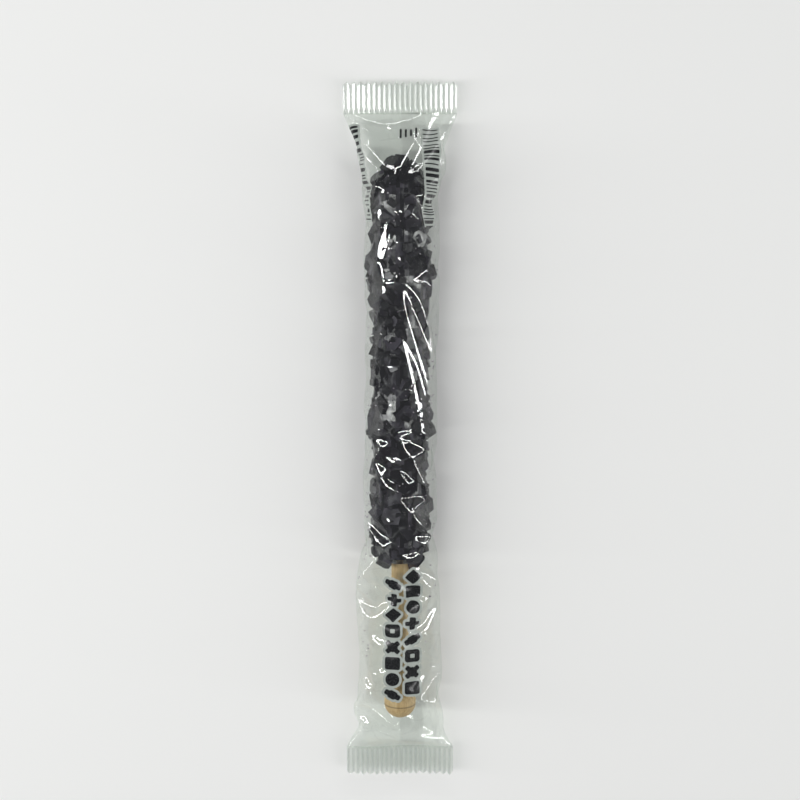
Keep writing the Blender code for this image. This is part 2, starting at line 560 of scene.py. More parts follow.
@dataclass(frozen=True)
class BrokenSugar:
    """Rock sugar, broken to crumbs: its broken faces scatter the light, so it looks pale."""

    name: str = "broken_rock_sugar"
    pale: str = "#cfc8cf"
    tinged: str = "#8f7f92"
    roughness: float = 0.25
    # Crumbs that fell from the same crystal lie within a few millimetres and share its tinge
    clump: float = 5.0 * MM
    clump_detail: float = 1.0
    # The span of the clumps over which pale turns to tinged
    tingeing: tuple[float, float] = (0.4, 0.6)

    def material(self) -> bpy.types.Material:
        """Builds the finish.

        Some crumbs keep more of the syrup's colour than others, so that they show as pale and as
        purple specks beside the crust.

        Returns:
            The material.
        """
        material, tree = new_material(self.name)
        place = add_node(tree, "ShaderNodeNewGeometry", {}).outputs["Position"]
        tinge = add_node(
            tree,
            "ShaderNodeTexNoise",
            {"Vector": place, "Scale": 1 / self.clump, "Detail": self.clump_detail},
        )
        tone = add_node(
            tree,
            "ShaderNodeMapRange",
            {
                "Value": tinge.outputs["Fac"],
                "From Min": self.tingeing[0],
                "From Max": self.tingeing[1],
            },
        )
        colour = add_node(
            tree,
            "ShaderNodeMix",
            {
                "Factor": tone.outputs["Result"],
                FIRST_COLOUR: linear(self.pale),
                SECOND_COLOUR: linear(self.tinged),
            },
            data_type="RGBA",
        )
        shader = add_node(
            tree,
            "ShaderNodeBsdfPrincipled",
            {"Base Color": colour.outputs[MIXED_COLOUR], "Roughness": self.roughness},
        )
        add_node(tree, "ShaderNodeOutputMaterial", {"Surface": shader.outputs["BSDF"]})
        return material


@dataclass(frozen=True)
class TurnedBirch:
    """Birch, turned and sanded: pale tan with fine straight grain along the stick."""

    name: str = "turned_birch"
    early: str = "#cdb283"
    late: str = "#b09160"
    roughness: float = 0.55
    # Birch pores are 0.1 mm wide, too fine to show, so the grain is drawn 0.55 mm wide
    grain_width: float = 0.55 * MM
    grain_length: float = 14 * MM
    grain_detail: float = 4.0
    grain_breaks: float = 0.6
    grain_height: float = 0.08 * MM
    grain_share: float = 0.35
    # The span of the grain over which early wood turns to late wood
    ripening: tuple[float, float] = (0.36, 0.66)
    # A thin dark line runs round the ball, just behind its groove
    line: str = "#5d4a2e"
    line_width: float = 0.32 * MM
    line_behind: float = 0.4 * MM
    line_depth: float = 0.8

    def material(self) -> bpy.types.Material:
        """Builds the finish.

        The grain shows as long soft streaks along the dowel, the pores take most of the gloss
        away, and a thin dark line runs round the ball near its widest place.

        Returns:
            The material.
        """
        material, tree = new_material(self.name)
        place = add_node(tree, "ShaderNodeNewGeometry", {}).outputs["Position"]
        pace = (1 / self.grain_width, 1 / self.grain_length, 1 / self.grain_width)
        drawn = add_node(tree, "ShaderNodeVectorMath", {0: place, 1: pace}, operation="MULTIPLY")
        grain = add_node(
            tree,
            "ShaderNodeTexNoise",
            {
                "Vector": drawn.outputs["Vector"],
                "Scale": 1.0,
                "Detail": self.grain_detail,
                "Roughness": self.grain_breaks,
            },
        )
        tone = add_node(
            tree,
            "ShaderNodeMapRange",
            {
                "Value": grain.outputs["Fac"],
                "From Min": self.ripening[0],
                "From Max": self.ripening[1],
            },
        )
        wood = add_node(
            tree,
            "ShaderNodeMix",
            {
                "Factor": tone.outputs["Result"],
                FIRST_COLOUR: linear(self.early),
                SECOND_COLOUR: linear(self.late),
            },
            data_type="RGBA",
        )
        along = add_node(tree, "ShaderNodeSeparateXYZ", {0: place}).outputs["Y"]
        dark_line_place = PLAN.ball_centre - self.line_behind
        off = add_node(tree, "ShaderNodeMath", {0: along, 1: dark_line_place}, operation="SUBTRACT")
        gap = add_node(tree, "ShaderNodeMath", {0: off.outputs[0]}, operation="ABSOLUTE")
        dark_line_share = add_node(
            tree,
            "ShaderNodeMapRange",
            {
                "Value": gap.outputs[0],
                "From Max": self.line_width,
                "To Min": self.line_depth,
                "To Max": 0.0,
            },
        )
        marked = add_node(
            tree,
            "ShaderNodeMix",
            {
                "Factor": dark_line_share.outputs["Result"],
                FIRST_COLOUR: wood.outputs[MIXED_COLOUR],
                SECOND_COLOUR: linear(self.line),
            },
            data_type="RGBA",
        )
        bump = add_node(
            tree,
            "ShaderNodeBump",
            {
                "Height": grain.outputs["Fac"],
                "Strength": self.grain_share,
                "Distance": self.grain_height,
            },
        )
        shader = add_node(
            tree,
            "ShaderNodeBsdfPrincipled",
            {
                "Base Color": marked.outputs[MIXED_COLOUR],
                "Roughness": self.roughness,
                "Normal": bump.outputs["Normal"],
            },
        )
        add_node(tree, "ShaderNodeOutputMaterial", {"Surface": shader.outputs["BSDF"]})
        return material


@dataclass(frozen=True)
class CastFilm:
    """Polypropylene film, cast and stretched: clear, with hard bright lines of light at its folds.

    Each face of a film mirrors about 4% of the light. The share is kept a little under that of
    both faces, so that dark sugar looks as dark through it as it does in a real bag.
    """

    name: str = "cast_polypropylene_film"
    # Share of the light mirrored face on and at a grazing look, and how late it rises
    mirrored: float = 0.06
    grazing: float = 0.2
    falloff: float = 5.0
    roughness: float = 0.05
    # Share of the light scattered by flat film and by a tight fold
    haze: float = 0.014
    crease_haze: float = 0.2
    milk: str = "#e4e8e5"
    tint: str = "#f9fbf9"
    # Handling leaves fine creases that cross each other every few millimetres. They are under
    # 0.1 mm wide, too fine to show, so they are drawn 0.3 mm wide and faint
    wrinkle: float = 6.5 * MM
    wrinkle_width: float = 0.3 * MM
    wrinkle_haze: float = 0.08
    wrinkle_height: float = 0.03 * MM
    # The creases stray sideways, and come and go over a span of the same unevenness
    wander: float = 4.0 * MM
    wander_detail: float = 1.0
    wander_reach: float = 3.0 * MM
    wearing: tuple[float, float] = (0.48, 0.62)

    def material(self) -> bpy.types.Material:
        """Builds the finish.

        Flat film lets the contents show with a thin sheen over them. Tight folds and handling
        creases scatter light, so they show as pale grey lines.

        Returns:
            The material.
        """
        material, tree = new_material(self.name)
        place = add_node(tree, "ShaderNodeNewGeometry", {}).outputs["Position"]
        bend = add_node(
            tree,
            "ShaderNodeTexNoise",
            {"Vector": place, "Scale": 1 / self.wander, "Detail": self.wander_detail},
        )
        reach = (self.wander_reach,) * 3
        strayed = add_node(
            tree,
            "ShaderNodeVectorMath",
            {0: bend.outputs["Color"], 1: reach, 2: place},
            operation="MULTIPLY_ADD",
        )
        cells = add_node(
            tree,
            "ShaderNodeTexVoronoi",
            {"Vector": strayed.outputs["Vector"], "Scale": 1 / self.wrinkle},
            feature="DISTANCE_TO_EDGE",
        )
        # The distance is in cells, so the width is too
        lines = add_node(
            tree,
            "ShaderNodeMapRange",
            {
                "Value": cells.outputs["Distance"],
                "From Max": self.wrinkle_width / self.wrinkle,
                "To Min": 1.0,
                "To Max": 0.0,
            },
        )
        broken = add_node(
            tree,
            "ShaderNodeMapRange",
            {
                "Value": bend.outputs["Fac"],
                "From Min": self.wearing[0],
                "From Max": self.wearing[1],
            },
        )
        wrinkles = add_node(
            tree,
            "ShaderNodeMath",
            {0: lines.outputs["Result"], 1: broken.outputs["Result"]},
            operation="MULTIPLY",
        )
        kink = add_node(
            tree,
            "ShaderNodeBump",
            {"Height": wrinkles.outputs[0], "Distance": self.wrinkle_height},
        )
        crease = add_node(tree, "ShaderNodeAttribute", {}, attribute_name=CREASE)
        folds = add_node(
            tree,
            "ShaderNodeMapRange",
            {"Value": crease.outputs["Fac"], "To Min": self.haze, "To Max": self.crease_haze},
        )
        haze = add_node(
            tree,
            "ShaderNodeMath",
            {0: wrinkles.outputs[0], 1: self.wrinkle_haze, 2: folds.outputs["Result"]},
            operation="MULTIPLY_ADD",
        )
        facing = add_node(tree, "ShaderNodeLayerWeight", {"Blend": 0.5}).outputs["Facing"]
        slant = add_node(tree, "ShaderNodeMath", {0: facing, 1: self.falloff}, operation="POWER")
        sheen = add_node(
            tree,
            "ShaderNodeMapRange",
            {"Value": slant.outputs[0], "To Min": self.mirrored, "To Max": self.grazing},
        )
        clear = add_node(tree, "ShaderNodeBsdfTransparent", {"Color": linear(self.tint)})
        milk = add_node(tree, "ShaderNodeBsdfDiffuse", {"Color": linear(self.milk)})
        gloss = add_node(
            tree,
            "ShaderNodeBsdfGlossy",
            {
                "Color": linear("#ffffff"),
                "Roughness": self.roughness,
                "Normal": kink.outputs["Normal"],
            },
        )
        hazy = add_node(
            tree,
            "ShaderNodeMixShader",
            {0: haze.outputs[0], 1: clear.outputs[0], 2: milk.outputs[0]},
        )
        film = add_node(
            tree,
            "ShaderNodeMixShader",
            {0: sheen.outputs[0], 1: hazy.outputs[0], 2: gloss.outputs[0]},
        )
        add_node(tree, "ShaderNodeOutputMaterial", {"Surface": film.outputs[0]})
        return material


# Hot jaws press both films into one, which turns it milky and takes the edge off its gloss
WELDED_FILM = CastFilm(
    "welded_polypropylene_film",
    roughness=0.16,
    haze=0.03,
    # On the seals' ribs this haze lays painted highlights along the rib tops
    crease_haze=0.3,
    milk="#b6bdb8",
    wrinkle_haze=0.0,
    wrinkle_height=0.0,
)
# The back seam lies against the bag, so only its outer face shows any gloss
FOLDED_FILM = CastFilm(
    "folded_polypropylene_film",
    mirrored=0.02,
    roughness=0.1,
    haze=0.012,
    crease_haze=0.1,
    tint="#ffffff",
    wrinkle_haze=0.0,
    wrinkle_height=0.0,
)


class Ink(Enum):
    """The inks of the print, with their sRGB colours."""

    WHITE = "#aab0aa"
    BLACK = "#222324"


@dataclass(frozen=True)
class PrintedInk:
    """Flexographic ink on film: a thin flat coat, a little less glossy than the bare film."""

    ink: Ink
    # Mottle from the printing plate is about 0.1 mm, too fine to show, so it is drawn at 0.35 mm
    mottle: float = 0.35 * MM
    mottle_detail: float = 2.0
    # The roughness of the coat, and the span of the mottle over which it rises
    glossiest: float = 0.18
    dullest: float = 0.34
    dulling: tuple[float, float] = (0.3, 0.7)
    ior: float = 1.5

    def material(self) -> bpy.types.Material:
        """Builds the finish.

        The mottle keeps the ink from looking flat: its gloss comes and goes in small spots.

        Returns:
            The material.
        """
        material, tree = new_material(f"flexographic_ink_{self.ink.name.lower()}")
        place = add_node(tree, "ShaderNodeNewGeometry", {}).outputs["Position"]
        mottle = add_node(
            tree,
            "ShaderNodeTexNoise",
            {"Vector": place, "Scale": 1 / self.mottle, "Detail": self.mottle_detail},
        )
        rough = add_node(
            tree,
            "ShaderNodeMapRange",
            {
                "Value": mottle.outputs["Fac"],
                "From Min": self.dulling[0],
                "From Max": self.dulling[1],
                "To Min": self.glossiest,
                "To Max": self.dullest,
            },
        )
        shader = add_node(
            tree,
            "ShaderNodeBsdfPrincipled",
            {
                "Base Color": linear(self.ink.value),
                "Roughness": rough.outputs["Result"],
                "IOR": self.ior,
            },
        )
        add_node(tree, "ShaderNodeOutputMaterial", {"Surface": shader.outputs["BSDF"]})
        return material


@dataclass(frozen=True)
class MattCard:
    """Card, coated matt: the studio floor, pale and without a shine."""

    name: str = "matt_card"
    colour: str = "#f2f2f0"
    roughness: float = 0.8

    def material(self) -> bpy.types.Material:
        """Builds the finish, an even pale face that leaves the eye on the stick.

        Returns:
            The material.
        """
        material, tree = new_material(self.name)
        shader = add_node(
            tree,
            "ShaderNodeBsdfPrincipled",
            {"Base Color": linear(self.colour), "Roughness": self.roughness},
        )
        add_node(tree, "ShaderNodeOutputMaterial", {"Surface": shader.outputs["BSDF"]})
        return material


@dataclass(frozen=True)
class Crystal:
    """Size and place of one crystal."""

    size: Vector
    place: Vector
    turn: Matrix

    @property
    def stance(self) -> Matrix:
        """Its place and turn together."""
        return Matrix.Translation(self.place) @ self.turn


@dataclass(frozen=True)
class CrystalCrop:
    """One crop of crystals: how many, the seed of its draws, and its scale, 1 for large ones."""

    count: int
    seed: int
    scale: float


@dataclass
class CandyCrust:
    """Sugar crystals grown on the stick: large ones, small ones between them, and a crown."""

    # The large crystals are the ones that press through the frame's bag
    large: CrystalCrop = CrystalCrop(count=168, seed=11, scale=1.0)
    small: CrystalCrop = CrystalCrop(count=260, seed=5, scale=0.52)
    width: tuple[float, float] = (4.2 * MM, 6.4 * MM)
    length: tuple[float, float] = (6.0 * MM, 9.0 * MM)
    depth: tuple[float, float] = (3.8 * MM, 5.8 * MM)
    reach: tuple[float, float] = (0.93, 1.05)
    lean: float = 0.6
    swing: float = 0.35
    golden: float = math.radians(137.508)
    end_margin: float = 1.5 * MM
    # Crystals fan out over the head and tuck in at the foot
    head_fan: float = 1.3
    foot_tuck: float = 0.9
    head_calm: float = 0.55
    sunk_length: float = 0.5
    sunk_width: float = 0.18
    # Form of one crystal
    shear: float = math.tan(math.radians(13))
    bevel: float = 0.3
    lengthwise: float = 0.9
    chip_share: float = 0.3
    chip: float = 0.1
    floor_gap: float = 0.65 * MM
    # The crown, a few crystals that close the head
    crown_count: int = 7
    crown_seed: int = 19
    crown_scale: float = 0.8
    crown_ring: tuple[float, float] = (1.4 * MM, 3.2 * MM)
    crown_back: tuple[float, float] = (0.2 * MM, 1.9 * MM)
    crown_fan: float = 0.3
    crown_lean: float = 0.28
    # The crust under the crystals
    core_steps: int = 60
    core_sides: int = 40
    core_foot: float = 0.3 * MM
    core_head: float = 2.6 * MM
    core_sunk: float = 1.1 * MM
    core_least: float = 0.8 * MM
    finish: GrownSugar = GrownSugar()

    def shape(self, crystal: Crystal, chips: random.Random | None) -> bmesh.types.BMesh:
        """One leaning prism with two of its long edges cut off.

        Args:
            crystal: Its size and place.
            chips: Draws small uneven cuts, or None for whole edges.

        Returns:
            A closed bmesh.
        """
        mesh = bmesh.new()
        bmesh.ops.create_cube(mesh, size=1.0)
        lean = Matrix.Shear("XY", 4, (self.shear, 0))
        size = crystal.size
        bmesh.ops.transform(mesh, matrix=lean @ Matrix.Diagonal((*size, 1)), verts=mesh.verts)
        long_edges = []
        for edge in mesh.edges:
            near, far = (vertex.co for vertex in edge.verts)
            if abs((near - far).normalized().y) > self.lengthwise and near.x * near.z > 0:
                long_edges.append(edge)
        cut = self.bevel * min(size)
        bmesh.ops.bevel(mesh, geom=long_edges, offset=cut, segments=1, affect="EDGES")
        if chips:
            chipped = [edge for edge in mesh.edges if chips.random() < self.chip_share]
            cut = self.chip * min(size)
            bmesh.ops.bevel(mesh, geom=chipped, offset=cut, segments=1, affect="EDGES")
        bmesh.ops.transform(mesh, matrix=crystal.stance, verts=mesh.verts)
        lowest = min(vertex.co.z for vertex in mesh.verts)
        lift = max(self.floor_gap - lowest, 0.0)
        bmesh.ops.translate(mesh, vec=(0, 0, lift), verts=mesh.verts)
        return mesh

    def draw_size(self, chance: random.Random, scale: float) -> Vector:
        """Draws a crystal's width, length and depth.

        Args:
            chance: The random draws.
            scale: Size against the large crystals.

        Returns:
            The three sizes.
        """
        limits = (self.width, self.length, self.depth)
        return Vector([chance.uniform(*limit) for limit in limits]) * scale

    def flanks(self, crop: CrystalCrop) -> list[Crystal]:
        """Places one crop along the candy, in an even spiral with uneven leans.

        Args:
            crop: How many, how large and which draws.

        Returns:
            Its crystals.
        """
        chance = random.Random(crop.seed)
        grown = []
        for index in range(crop.count):
            share = (index + 0.5) / crop.count
            y = PLAN.foot + self.end_margin + (PLAN.candy_length - 2 * self.end_margin) * share
            angle = index * self.golden + chance.uniform(-self.swing, self.swing)
            size = self.draw_size(chance, crop.scale)
            outer = PLAN.candy_radius(y) * chance.uniform(*self.reach)
            near_tip = max(0.0, 1 - (PLAN.tip - y) / PLAN.head_dome)
            near_foot = max(0.0, 1 - (y - PLAN.foot) / PLAN.foot_dome)
            spoke = Vector((math.cos(angle), 0, math.sin(angle)))
            fan = self.head_fan * near_tip - self.foot_tuck * near_foot
            outward = (spoke + Vector((0, fan, 0))).normalized()
            lean = Vector([chance.uniform(-self.lean, self.lean) for _ in range(3)])
            axis = (outward + lean * (1 - self.head_calm * near_tip)).normalized()
            sunk = self.sunk_length * abs(axis.dot(outward)) * size.y + self.sunk_width * size.x
            place = Vector((0, y, PLAN.axis)) + spoke * max(outer - sunk, 0.0)
            turn = axis.to_track_quat("Y", "Z").to_matrix().to_4x4()
            turn = turn @ Matrix.Rotation(chance.uniform(0, math.tau), 4, "Y")
            grown.append(Crystal(size, place, turn))
        return grown

    def crown(self) -> list[Crystal]:
        """Places the crystals that close the head, all pointing forward and a little apart.

        Returns:
            Its crystals.
        """
        chance = random.Random(self.crown_seed)
        grown = []
        for index in range(self.crown_count):
            angle = index * self.golden
            spoke = Vector((math.cos(angle), 0, math.sin(angle)))
            size = self.draw_size(chance, self.crown_scale)
            lean = Vector([chance.uniform(-self.crown_lean, self.crown_lean) for _ in range(3)])
            axis = (Vector((0, 1, 0)) + spoke * self.crown_fan + lean).normalized()
            y = PLAN.tip - chance.uniform(*self.crown_back) - size.y / 2
            place = Vector((0, y, PLAN.axis)) + spoke * chance.uniform(*self.crown_ring)
            turn = axis.to_track_quat("Y", "Z").to_matrix().to_4x4()
            turn = turn @ Matrix.Rotation(chance.uniform(0, math.tau), 4, "Y")
            grown.append(Crystal(size, place, turn))
        return grown

    def core(self) -> bmesh.types.BMesh:
        """The crust under the crystals, just inside their mean radius.

        Returns:
            A closed turned form.
        """
        mesh = bmesh.new()
        length = PLAN.candy_length - self.core_foot - self.core_head
        rings = []
        for step in range(self.core_steps + 1):
            y = PLAN.foot + self.core_foot + length * step / self.core_steps
            radius = max(PLAN.candy_radius(y) - self.core_sunk, self.core_least)
            ring = []
            for side in range(self.core_sides):
                turn = math.tau * side / self.core_sides
                x, z = radius * math.cos(turn), PLAN.axis + radius * math.sin(turn)
                ring.append(mesh.verts.new((x, y, z)))
            rings.append(ring)
        for near, far in zip(rings, rings[1:]):
            for side in range(self.core_sides):
                after = (side + 1) % self.core_sides
                mesh.faces.new((near[side], near[after], far[after], far[side]))
        mesh.faces.new(rings[0])
        mesh.faces.new(rings[-1])
        bmesh.ops.recalc_face_normals(mesh, faces=mesh.faces)
        return mesh

    def grow(self) -> bpy.types.Object:
        """Joins all crystals into one closed crust.

        Returns:
            The crust, not yet dressed.
        """
        scene = bpy.context.scene
        loose = bpy.data.collections.new("growing_crystals")
        scene.collection.children.link(loose)
        chips = random.Random(self.small.seed)
        crops = (
            (self.flanks(self.large), None),
            (self.flanks(self.small), chips),
            (self.crown(), None),
        )
        for crystals, cuts in crops:
            for crystal in crystals:
                from_bmesh("crystal", self.shape(crystal, cuts), loose)
        crust = from_bmesh("sugar_crystals", self.core(), scene.collection)
        union = crust.modifiers.new("grow", "BOOLEAN")
        union.operation = "UNION"
        union.operand_type = "COLLECTION"
        union.collection = loose
        union.solver = "MANIFOLD"
        bpy.context.view_layer.update()
        grown = crust.evaluated_get(bpy.context.evaluated_depsgraph_get())
        joined = bpy.data.meshes.new_from_object(grown)
        crust.modifiers.clear()
        crust.data = joined
        for piece in list(loose.objects):
            bpy.data.objects.remove(piece, do_unlink=True)
        bpy.data.collections.remove(loose)
        return crust

    def dress(self, crust: bpy.types.Object) -> bpy.types.Object:
        """Finishes the crust as grown sugar.

        Args:
            crust: The crust.

        Returns:
            The same crust.
        """
        return fit_out(crust, self.finish.material())

    def build(self) -> bpy.types.Object:
        """Grows the crust and dresses it."""
        return self.dress(self.grow())


@dataclass
class WoodenStick:
    """The dowel with its ball end, turned in one piece."""

    sides: int = 48
    ball_steps: int = 32
    neck: float = 0.5 * MM
    neck_length: float = 1.4 * MM
    neck_steps: int = 6
    shaft_steps: int = 40
    # Depth of the groove round the ball, and its half width as a share of the ball's radius
    groove: float = 0.12 * MM
    groove_width: float = 0.06
    # How far short of the candy's tip the dowel ends, and the length of its pointed end
    buried: float = 12 * MM
    point: float = 0.6 * MM
    merge: float = 0.01 * MM
    finish: TurnedBirch = TurnedBirch()

    def profile(self) -> list[tuple[float, float]]:
        """Outline of the turning.

        Returns:
            Places along the stick, each with the radius there.
        """
        ball, collar = PLAN.ball, PLAN.dowel + self.neck
        meet = PLAN.ball_centre + math.sqrt(ball**2 - collar**2)
        turn_end = math.asin(collar / ball)
        points = []
        for step in range(self.ball_steps + 1):
            turn = math.pi - (math.pi - turn_end) * step / self.ball_steps
            cosine = math.cos(turn)
            groove = self.groove * math.exp(-((cosine / self.groove_width) ** 2))
            points.append((PLAN.ball_centre + ball * cosine, (ball - groove) * math.sin(turn)))
        for step in range(1, self.neck_steps + 1):
            share = step / self.neck_steps
            radius = PLAN.dowel + self.neck * (1 - share) ** 2
            points.append((meet + self.neck_length * share, radius))
        shaft = meet + self.neck_length
        inside = PLAN.tip - self.buried
        for step in range(1, self.shaft_steps + 1):
            points.append((shaft + (inside - shaft) * step / self.shaft_steps, PLAN.dowel))
        points.append((inside + self.point, 0.0))
        return points

    def turning(self) -> bpy.types.Object:
        """Turns the profile about the stick's axis.

        Returns:
            The stick, not yet dressed.
        """
        mesh = bmesh.new()
        chain = [mesh.verts.new((radius, y, PLAN.axis)) for y, radius in self.profile()]
        for near, far in zip(chain, chain[1:]):
            mesh.edges.new((near, far))
        bmesh.ops.spin(
            mesh,
            geom=mesh.verts[:] + mesh.edges[:],
            cent=(0, 0, PLAN.axis),
            axis=(0, 1, 0),
            angle=math.tau,
            steps=self.sides,
        )
        bmesh.ops.remove_doubles(mesh, verts=mesh.verts, dist=self.merge)
        bmesh.ops.recalc_face_normals(mesh, faces=mesh.faces)
        for face in mesh.faces:
            face.smooth = True
        return from_bmesh("birch_stick", mesh, bpy.context.scene.collection)

    def dress(self, stick: bpy.types.Object) -> bpy.types.Object:
        """Finishes the stick as turned birch.

        Args:
            stick: The stick.

        Returns:
            The same stick.
        """
        return fit_out(stick, self.finish.material())

    def build(self) -> bpy.types.Object:
        """Turns the stick and dresses it."""
        return self.dress(self.turning())


@dataclass(frozen=True)
class Threads:
    """A set of links in the film that share no point, so that all can pull at once."""

    near: np.ndarray
    far: np.ndarray
    rest: np.ndarray
    pull: float


@dataclass(frozen=True)
class ReachMap:
    """How far the contents reach from the axis, over the angle round it and the place along it."""

    reach: np.ndarray
    first: float
    step: float

    def at(self, turn: np.ndarray, y: np.ndarray) -> np.ndarray:
        """Reads the map between its points.

        Args:
            turn: Angles round the axis.
            y: Places along the stick.

        Returns:
            The reach at each angle and place.
        """
        turns, places = self.reach.shape
        across = (turn / math.tau % 1) * turns
        along = np.clip((y - self.first) / self.step, 0, places - SHORT_OF_LAST)
        left = np.floor(across).astype(int)
        low = np.floor(along).astype(int)
        over, up = across - left, along - low
        right = (left + 1) % turns
        left = left % turns
        near = self.reach[left, low] * (1 - over) + self.reach[right, low] * over
        far = self.reach[left, low + 1] * (1 - over) + self.reach[right, low + 1] * over
        return near * (1 - up) + far * up


@dataclass
class FilmTube:
    """The film tube, relaxed round its contents as thin film that bends but doesn't stretch.

    The tube is a grid of points, rows along the bag and columns round it. It starts from the
    frame's own sections. Then its threads pull to their flat length while the film stays
    outside the contents, above the surface it lies on, and clear of its other side.
    """

    rows: int = 180
    columns: int = 64
    # Film to spare along the bag, over the candy and more of it past the candy's ends
    slack: float = 1.028
    end_slack: float = 0.035
    slack_head: float = 10 * MM
    slack_foot: float = 6 * MM
    slack_fade: float = 16 * MM
    # The frame's sections
    section_points: int = 241
    width_halvings: int = 24
    flat_height: float = 0.06 * MM
    flatten_span: float = 9 * MM
    # The tube was filled a little twisted
    twist: float = 2.6 * MM
    twist_turns: float = 0.9
    second_twist: float = 1.5 * MM
    second_turns: float = 2.7
    second_start: float = 0.6
    twist_fade: float = 30 * MM
    # A faint seeded unevenness lets folds form
    seed: int = 23
    patch: int = 4
    unevenness: float = 0.5 * MM
    smoothings: int = 3
    calm_span: float = 6 * MM
    # How it settles
    sweeps: int = 2600
    momentum: float = 0.94
    weight: float = 0.00006 * MM
    swelling: float = 0.00035 * MM
    slant_pull: float = 0.55
    round_stiffness: float = 0.045
    along_stiffness: float = 0.09
    clearance: float = 0.22 * MM
    layer_gap: float = 0.12 * MM
    lowest: float = 0.35 * MM
    # The map of the contents
    map_step: float = 0.5 * MM
    map_angles: int = 160
    map_start: float = 16 * MM
    spread_angles: int = 2
    spread_places: int = 1
    # Where a bend starts to scatter light, and how much more makes it a tight fold
    crease_from: float = 0.03
    crease_over: float = 0.35
    finish: CastFilm = CastFilm()
    points: np.ndarray = field(default_factory=lambda: np.zeros((0, 0, 3)))

    @property
    def places(self) -> np.ndarray:
        """Place along the bag of each row."""
        return np.linspace(-PLAN.seal, PLAN.seal, self.rows)

    @property
    def seal_half_width(self) -> float:
        """Half of the settled tube's width where it meets the welds."""
        return float(np.abs(self.points[0, :, 0]).max())

    def half_oval(self, half_width: float, height: float, power: float) -> np.ndarray:
        """Points over half of a pinched oval, from its right edge to its left.

        Args:
            half_width: Half of its width.
            height: Its height.
            power: Its exponent.

        Returns:
            Places across and heights.
        """
        turn = np.linspace(0, math.pi, self.section_points)
        across = np.sign(np.cos(turn)) * np.abs(np.cos(turn)) ** (2 / power)
        over = np.abs(np.sin(turn)) ** (2 / power)
        return np.stack([half_width * across, height * over], axis=1)

    def half_width(self, height: float, power: float) -> float:
        """Half width of the section whose half girth is the lay-flat width.

        Args:
            height: The section's height.
            power: Its exponent.

        Returns:
            The half width.
        """
        low, high = 0.0, PLAN.lay_flat / 2
        for _ in range(self.width_halvings):
            middle = (low + high) / 2
            curve = self.half_oval(middle, height, power)
            if np.linalg.norm(np.diff(curve, axis=0), axis=1).sum() < PLAN.lay_flat:
                low = middle
            else:
                high = middle
        return low

    def start_ring(self, y: float) -> np.ndarray:
        """One ring of the tube before it relaxes.

        Args:
            y: Place along the bag.

        Returns:
            The ring's points as x and height over the bag's middle, evenly spaced.
        """
        left = PLAN.seal - abs(y)
        height = max(PLAN.film_height(y) * smooth_step(left / self.flatten_span), self.flat_height)
        power = PLAN.pinch(y)
        curve = self.half_oval(self.half_width(height, power), height, power)
        closed = np.concatenate([curve, -curve[1:]])
        gaps = np.linalg.norm(np.diff(closed, axis=0), axis=1)
        walked = np.concatenate([[0], np.cumsum(gaps)])
        along = math.pi * y / PLAN.seal
        turned = self.twist * math.sin(self.twist_turns * along)
        turned += self.second_twist * math.sin(self.second_turns * along + self.second_start)
        shift = turned * smooth_step(left / self.twist_fade)
        wanted = (np.arange(self.columns) / self.columns + shift / walked[-1]) % 1 * walked[-1]
        return np.stack([np.interp(wanted, walked, closed[:, axis]) for axis in (0, 1)], axis=1)

    def start(self) -> np.ndarray:
        """The whole tube before it relaxes.

        Returns:
            Its grid of points.
        """
        chance = np.random.default_rng(self.seed)
        tube = np.zeros((self.rows, self.columns, 3))
        for row, y in enumerate(self.places):
            ring = self.start_ring(float(y))
            tube[row, :, 0] = ring[:, 0]
            tube[row, :, 1] = y
            tube[row, :, 2] = ring[:, 1] + PLAN.middle(float(y)) + PLAN.curl(ring[:, 0], float(y))
        patches = (math.ceil(self.rows / self.patch), self.columns // self.patch)
        rough = chance.normal(0, 1, patches)
        fine = np.repeat(np.repeat(rough, self.patch, axis=0), self.patch, axis=1)[: self.rows]
        for _ in range(self.smoothings):
            around = [np.roll(fine, step, axis) for axis in (0, 1) for step in (1, -1)]
            fine = (fine + sum(around)) / (len(around) + 1)
        calm = np.array([smooth_step((PLAN.seal - abs(y)) / self.calm_span) for y in self.places])
        out = tube - np.array([0, 0, PLAN.axis])
        out[:, :, 1] = 0
        return tube + unit(out) * (fine * calm[:, None])[:, :, None] * self.unevenness

    def map_contents(self, contents: list[bpy.types.Object]) -> ReachMap:
        """Measures how far the contents reach.

        Args:
            contents: The crust and the wooden stick.

        Returns:
            The map, spread to its neighbours so that no edge is missed.
        """
        trees = []
        for piece in contents:
            mesh = bmesh.new()
            mesh.from_mesh(piece.data)
            trees.append(BVHTree.FromBMesh(mesh))
            mesh.free()
        places = np.arange(-PLAN.seal, PLAN.seal + self.map_step, self.map_step)
        reach = np.zeros((self.map_angles, len(places)))
        for turn in range(self.map_angles):
            angle = math.tau * turn / self.map_angles
            spoke = Vector((math.cos(angle), 0, math.sin(angle)))
            for place, y in enumerate(places):
                origin = Vector((0, y, PLAN.axis)) + spoke * self.map_start
                for tree in trees:
                    distance = tree.ray_cast(origin, -spoke, self.map_start)[3]
                    if distance is not None:
                        reach[turn, place] = max(reach[turn, place], self.map_start - distance)
        spread = reach.copy()
        for turns in range(-self.spread_angles, self.spread_angles + 1):
            for places_on in range(-self.spread_places, self.spread_places + 1):
                spread = np.maximum(spread, np.roll(reach, (turns, places_on), (0, 1)))
        return ReachMap(spread, float(places[0]), self.map_step)

